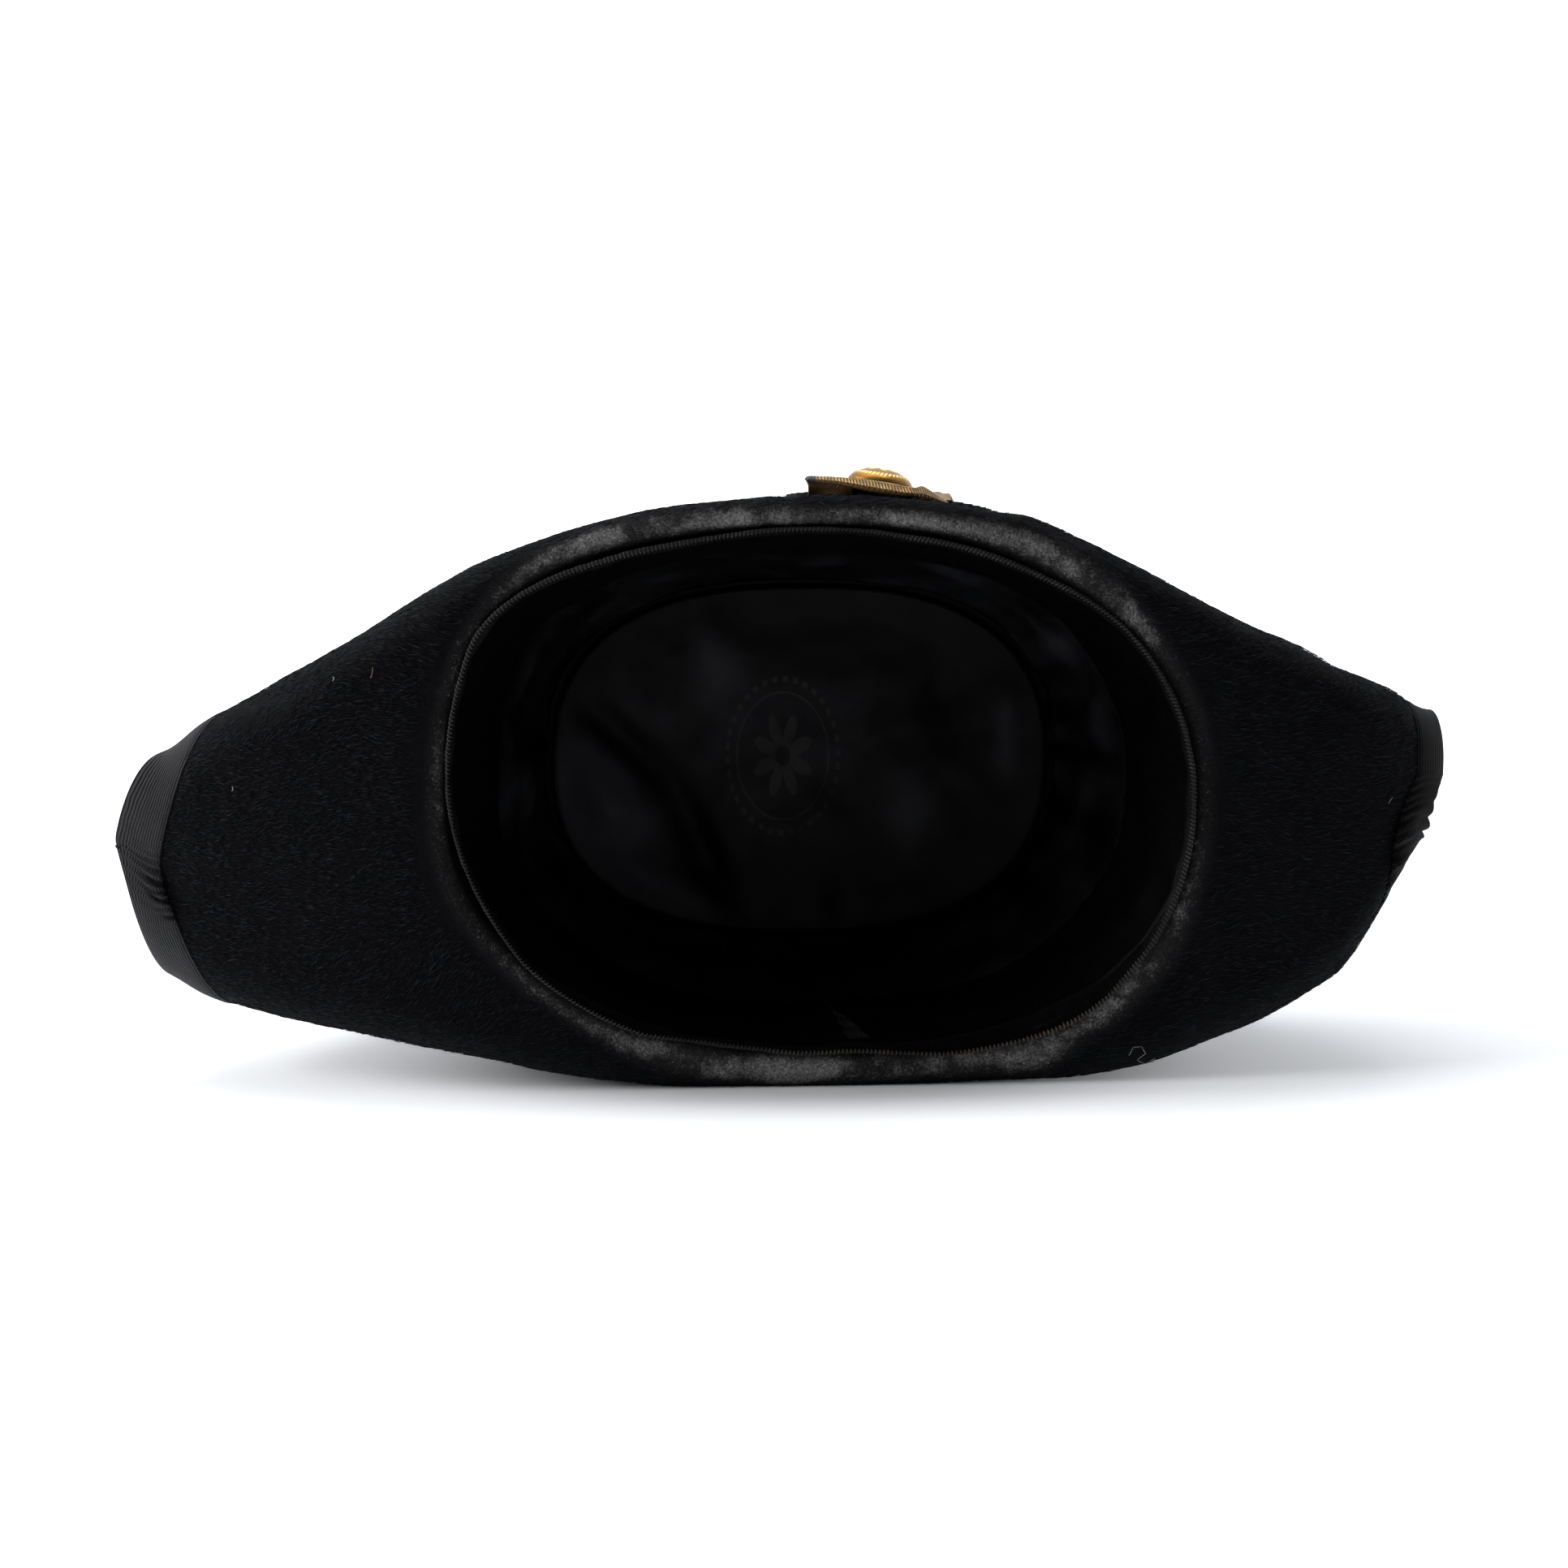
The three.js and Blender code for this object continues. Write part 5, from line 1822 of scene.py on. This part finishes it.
@dataclass
class GiltButton:
    """Domed gilt button with a rope ring and a rosette."""

    x: float = 17.2
    rise: float = 12.5
    lift: float = 3.9
    lean: float = 0.09
    columns: int = 200
    rows: int = 70
    # The rope ring: its radius, half its width and its strands. The rosette's petals.
    rope: tuple[float, float, float] = (7.3, 0.55, 40)
    petals: float = 8
    profile: Table = Table(
        "step r z",
        (
            (0, 8.4, 0),
            (1, 9, 0.6),
            (2, 8.6, 1.5),
            (3, 7.4, 2.6),
            (4, 5.2, 3.7),
            (5, 2.7, 4.3),
            (6, 0.1, 4.5),
        ),
    )

    def build(self) -> bpy.types.Object:
        """The button: its profile turned round, with the rope and the petals raised on it."""
        base = FORM.on_leaf(self.x, self.rise, self.lift)
        axis = unit(FORM.on_leaf(self.x, self.rise, self.lift + 1) - base)
        axis = unit(axis + np.array([self.lean, 0, 0]))
        east = unit(np.array([1.0, 0, 0]) - axis * axis[0])
        north = np.cross(axis, east)
        turn = np.arange(self.columns)[None, :] * 2 * np.pi / self.columns
        step = np.linspace(0, 6, self.rows)[:, None]
        r = self.profile.read("step", "r", step)
        z = self.profile.read("step", "z", step)
        at, half, strands = self.rope
        rope = bell(r - at, half) * (0.55 + 0.45 * np.sin(strands * turn + r * 2.2)) * (step > 2)
        outline = 2.1 + 3.1 * np.abs(np.cos(self.petals / 2 * turn)) ** 0.7
        petal = smooth(outline - r, 0, 0.35) * (r > 1.3) * (step > 3)
        vein = 1 - 0.5 * bell(np.sin(self.petals * turn), 0.22) * (r > 1.6)
        boss = smooth(1.25 - r, 0, 0.25) * (step > 3)
        raised = 0.26 * rope + 0.16 * petal * vein + 0.25 * boss
        points = (
            base
            + axis * (z + raised)[..., None]
            + east * (r * np.cos(turn))[..., None]
            + north * (r * np.sin(turn))[..., None]
        )
        high = np.clip(np.maximum.reduce([rope, petal * vein, boss + 0 * turn]), 0, 1)
        shape = Shape()
        shape.loft(points, False, high=high)
        return seat(shape.build("gilt_button", GiltBrass().material()), "button", "button")


@dataclass
class StrayFibres:
    """Lint, a hair and a curled thread end that lie on the felt."""

    lift: float = 0.5
    radius: float = 0.085
    # Each row is a point on the way of a fibre, by its number: angle and distance from the edge.
    ways: Table = Table(
        "fibre angle to_edge",
        (
            (0, 356.6, 19.2),
            (0, 356.3, 19.8),
            (0, 356.0, 20.1),
            (1, 168.3, 30),
            (1, 168.7, 30.5),
            (1, 169.0, 30.4),
            (2, 156.2, 46.0),
            (2, 156.4, 46.6),
            (2, 156.8, 46.8),
            (3, 157.5, 58.3),
            (3, 156.5, 57.5),
            (3, 155.8, 56.6),
            (4, 312.2, 73.6),
            (4, 313.4, 73.4),
            (4, 314.5, 70.6),
            (4, 314.4, 67.9),
            (4, 312.8, 69.6),
            (4, 313.1, 64.2),
            (4, 314.8, 63),
        ),
    )
    tan_one: int = 3

    def build(self) -> list[bpy.types.Object]:
        """Two pieces: the pale fibres and the tan one."""
        number = self.ways.column("fibre")
        shapes = {"pale_fibres": Shape(), "tan_fibre": Shape()}
        for one in np.unique(number):
            rows = number == one
            knots = np.arange(rows.sum())
            fine = np.linspace(0, len(knots) - 1, 8 * len(knots))
            way = [np.interp(fine, knots, self.ways.column(n)[rows]) for n in ("angle", "to_edge")]
            points, _, inward = FORM.brim(way[0], way[1][None, :])
            path = FORM.place(points[0] - inward[0] * self.lift)
            name = "tan_fibre" if one == self.tan_one else "pale_fibres"
            shapes[name].loft(tube(path, self.radius), False)
        tones = {"pale_fibres": (0.5, 0.5, 0.48), "tan_fibre": (0.4, 0.22, 0.09)}
        return [
            seat(shape.build(name, PlainThread(name, tones[name]).material()), "felt_body")
            for name, shape in shapes.items()
        ]


@dataclass
class Stage:
    """Pale floor that curves up behind, soft lights and the camera."""

    # The line of sight: degrees from the hat's own front view to the side and down, how far off
    # the camera is, and how far it is moved off the line through the opening's middle.
    sight_turn: float = 3.5
    sight_drop: float = 10.2
    distance: float = 1050
    shift_right: float = 10.444
    shift_up: float = -2.222
    lens: float = 88.04
    sensor: float = 36

    def floor(self) -> None:
        """A sheet that lies flat, then goes up in a quarter circle behind the hat."""
        turn = np.radians(np.linspace(0, 90, 24))
        y = np.concatenate([[-3500], 1500 + 900 * np.sin(turn), [2400]])
        z = np.concatenate([[0], 900 * (1 - np.cos(turn)), [4200]])
        x = np.linspace(-4500, 4500, 12)
        points = np.stack(np.broadcast_arrays(x[None, :], y[:, None], z[:, None]), axis=-1)
        shape = Shape()
        shape.add(points, [quads(len(y), len(x), False, False)])
        s = Shader("paper_with_painted_glow", Roughness=0.9, Specular_IOR_Level=0.1, Emission_Strength=1.0)
        here = s.place()
        side, far = s.axis(here, "X"), s.axis(here, "Y")
        # Painted shade: the floor fades to dark between 430 and 950 mm in front, so that it throws
        # no light into the crown.
        shown = far.ramp(-950, -430)
        pale = s.blend(shown, (0.05, 0.05, 0.05), (0.87, 0.88, 0.9))
        # Painted light: near the hat the floor glows except round where it touches, a painted
        # contact shadow, and glows less to the right, a painted soft shadow; behind it glows evenly
        # white.
        away = (((side - 5) / 80.0) ** 2.0 + ((far + 45) / 42.0) ** 2.0) ** 0.5
        near = (0.37 - 0.07 * side.ramp(40, 260)) * away.ramp(0.6, 1.6)
        glow = shown * (near + far.ramp(150, 900))
        painted_light = s.blend(glow, (0.0, 0.0, 0.0), (0.95, 0.97, 1.0))
        shape.build("paper_floor", s.finish(Base_Color=pale, Emission_Color=painted_light))

    def light(
        self,
        name: str,
        at: tuple[float, float, float],
        size: tuple[float, float],
        watts: float,
        towards: tuple[float, float, float] = (0, 0, 0.08),
    ) -> None:
        """A soft light.

        Args:
            name: its name.
            at: its place in metres.
            size: its width and depth in metres.
            watts: its power.
            towards: the place that it faces.
        """
        data = bpy.data.lights.new(name, "AREA")
        data.shape, data.energy = "RECTANGLE", watts
        data.size, data.size_y = size
        lamp = bpy.data.objects.new(name, data)
        aim = unit(np.array(towards, float) - np.array(at))
        right = unit(np.cross(aim, [0.0, 0.0, 1.0]) + [1e-6, 0, 0])
        turned = np.stack([right, np.cross(right, aim), -aim], axis=-1)
        lamp.matrix_world = Matrix.Translation(at) @ Matrix(turned.tolist()).to_4x4()
        bpy.context.scene.collection.objects.link(lamp)

    def camera(self) -> None:
        """Camera on the photograph's line of sight to the head opening."""
        turn, drop = math.radians(self.sight_turn), math.radians(self.sight_drop)
        right = np.array([math.cos(turn), -math.sin(turn), 0])
        level = np.array([math.sin(turn), math.cos(turn), 0])
        ahead = level * math.cos(drop) - np.array([0, 0, math.sin(drop)])
        up = np.cross(right, ahead)
        at = np.array(FORM.opening) - (
            self.shift_right * right + self.shift_up * up + self.distance * ahead
        )
        data = bpy.data.cameras.new("camera")
        data.lens, data.sensor_width = self.lens, self.sensor
        data.clip_start, data.clip_end = 0.05, 30
        camera = bpy.data.objects.new("camera", data)
        facing = Matrix(np.stack([right, up, -ahead], axis=-1).tolist()).to_4x4()
        camera.matrix_world = Matrix.Translation(at * MM) @ facing
        bpy.context.scene.collection.objects.link(camera)
        bpy.context.scene.camera = camera

    def build(self) -> None:
        """Everything that isn't the hat."""
        self.camera()
        self.floor()
        self.room()
        bpy.context.scene.view_settings.view_transform = "Standard"
        self.light("top_softbox", (-0.15, 0.36, 1.6), (1.5, 0.45), 14, (-0.15, 0, 0.08))
        self.light("left_softbox", (-1.6, -0.1, 0.8), (0.9, 0.9), 26)

    def room(self) -> None:
        """World that is white to the eye, and as a light dim towards the camera's side and brighter
        elsewhere, most of all behind.
        """
        world = bpy.data.worlds.new("white_room")
        s = NodeWork(world)
        way = s.node("ShaderNodeTexCoord", {}, {}, "Generated")
        open_sides = s.axis(way, "Y").ramp(-0.5, 0.25)
        dim = {"Color": (0.95, 0.975, 1, 1), "Strength": 0.03 + 0.72 * open_sides}
        seen = {"Color": (0.93, 0.94, 0.955, 1), "Strength": 1.0}
        eye = s.node("ShaderNodeLightPath", {}, {}, "Is Camera Ray")
        first = s.node("ShaderNodeBackground", {}, dim)
        second = s.node("ShaderNodeBackground", {}, seen)
        both = s.node("ShaderNodeMixShader", {}, {0: eye, 1: first, 2: second})
        s.feed(s.nodes["World Output"].inputs["Surface"], both)
        bpy.context.scene.world = world


def main() -> None:
    """Builds the hat piece by piece, then the room it lies in."""
    logging.basicConfig(level=logging.INFO, format="%(name)s %(message)s")
    Stage().build()
    felt = FeltBody()
    felt.build()
    felt.nap()
    EdgeRibbon().build()
    band = HeadBand()
    band.build()
    band.cord()
    band.seam()
    lining = Lining()
    lining.sides()
    lining.panel()
    Cockade().build()
    loop = LaceLoop()
    loop.build()
    loop.turned_end()
    GiltButton().build()
    StrayFibres().build()
    bpy.context.view_layer.update()


if __name__ == "__main__":
    main()
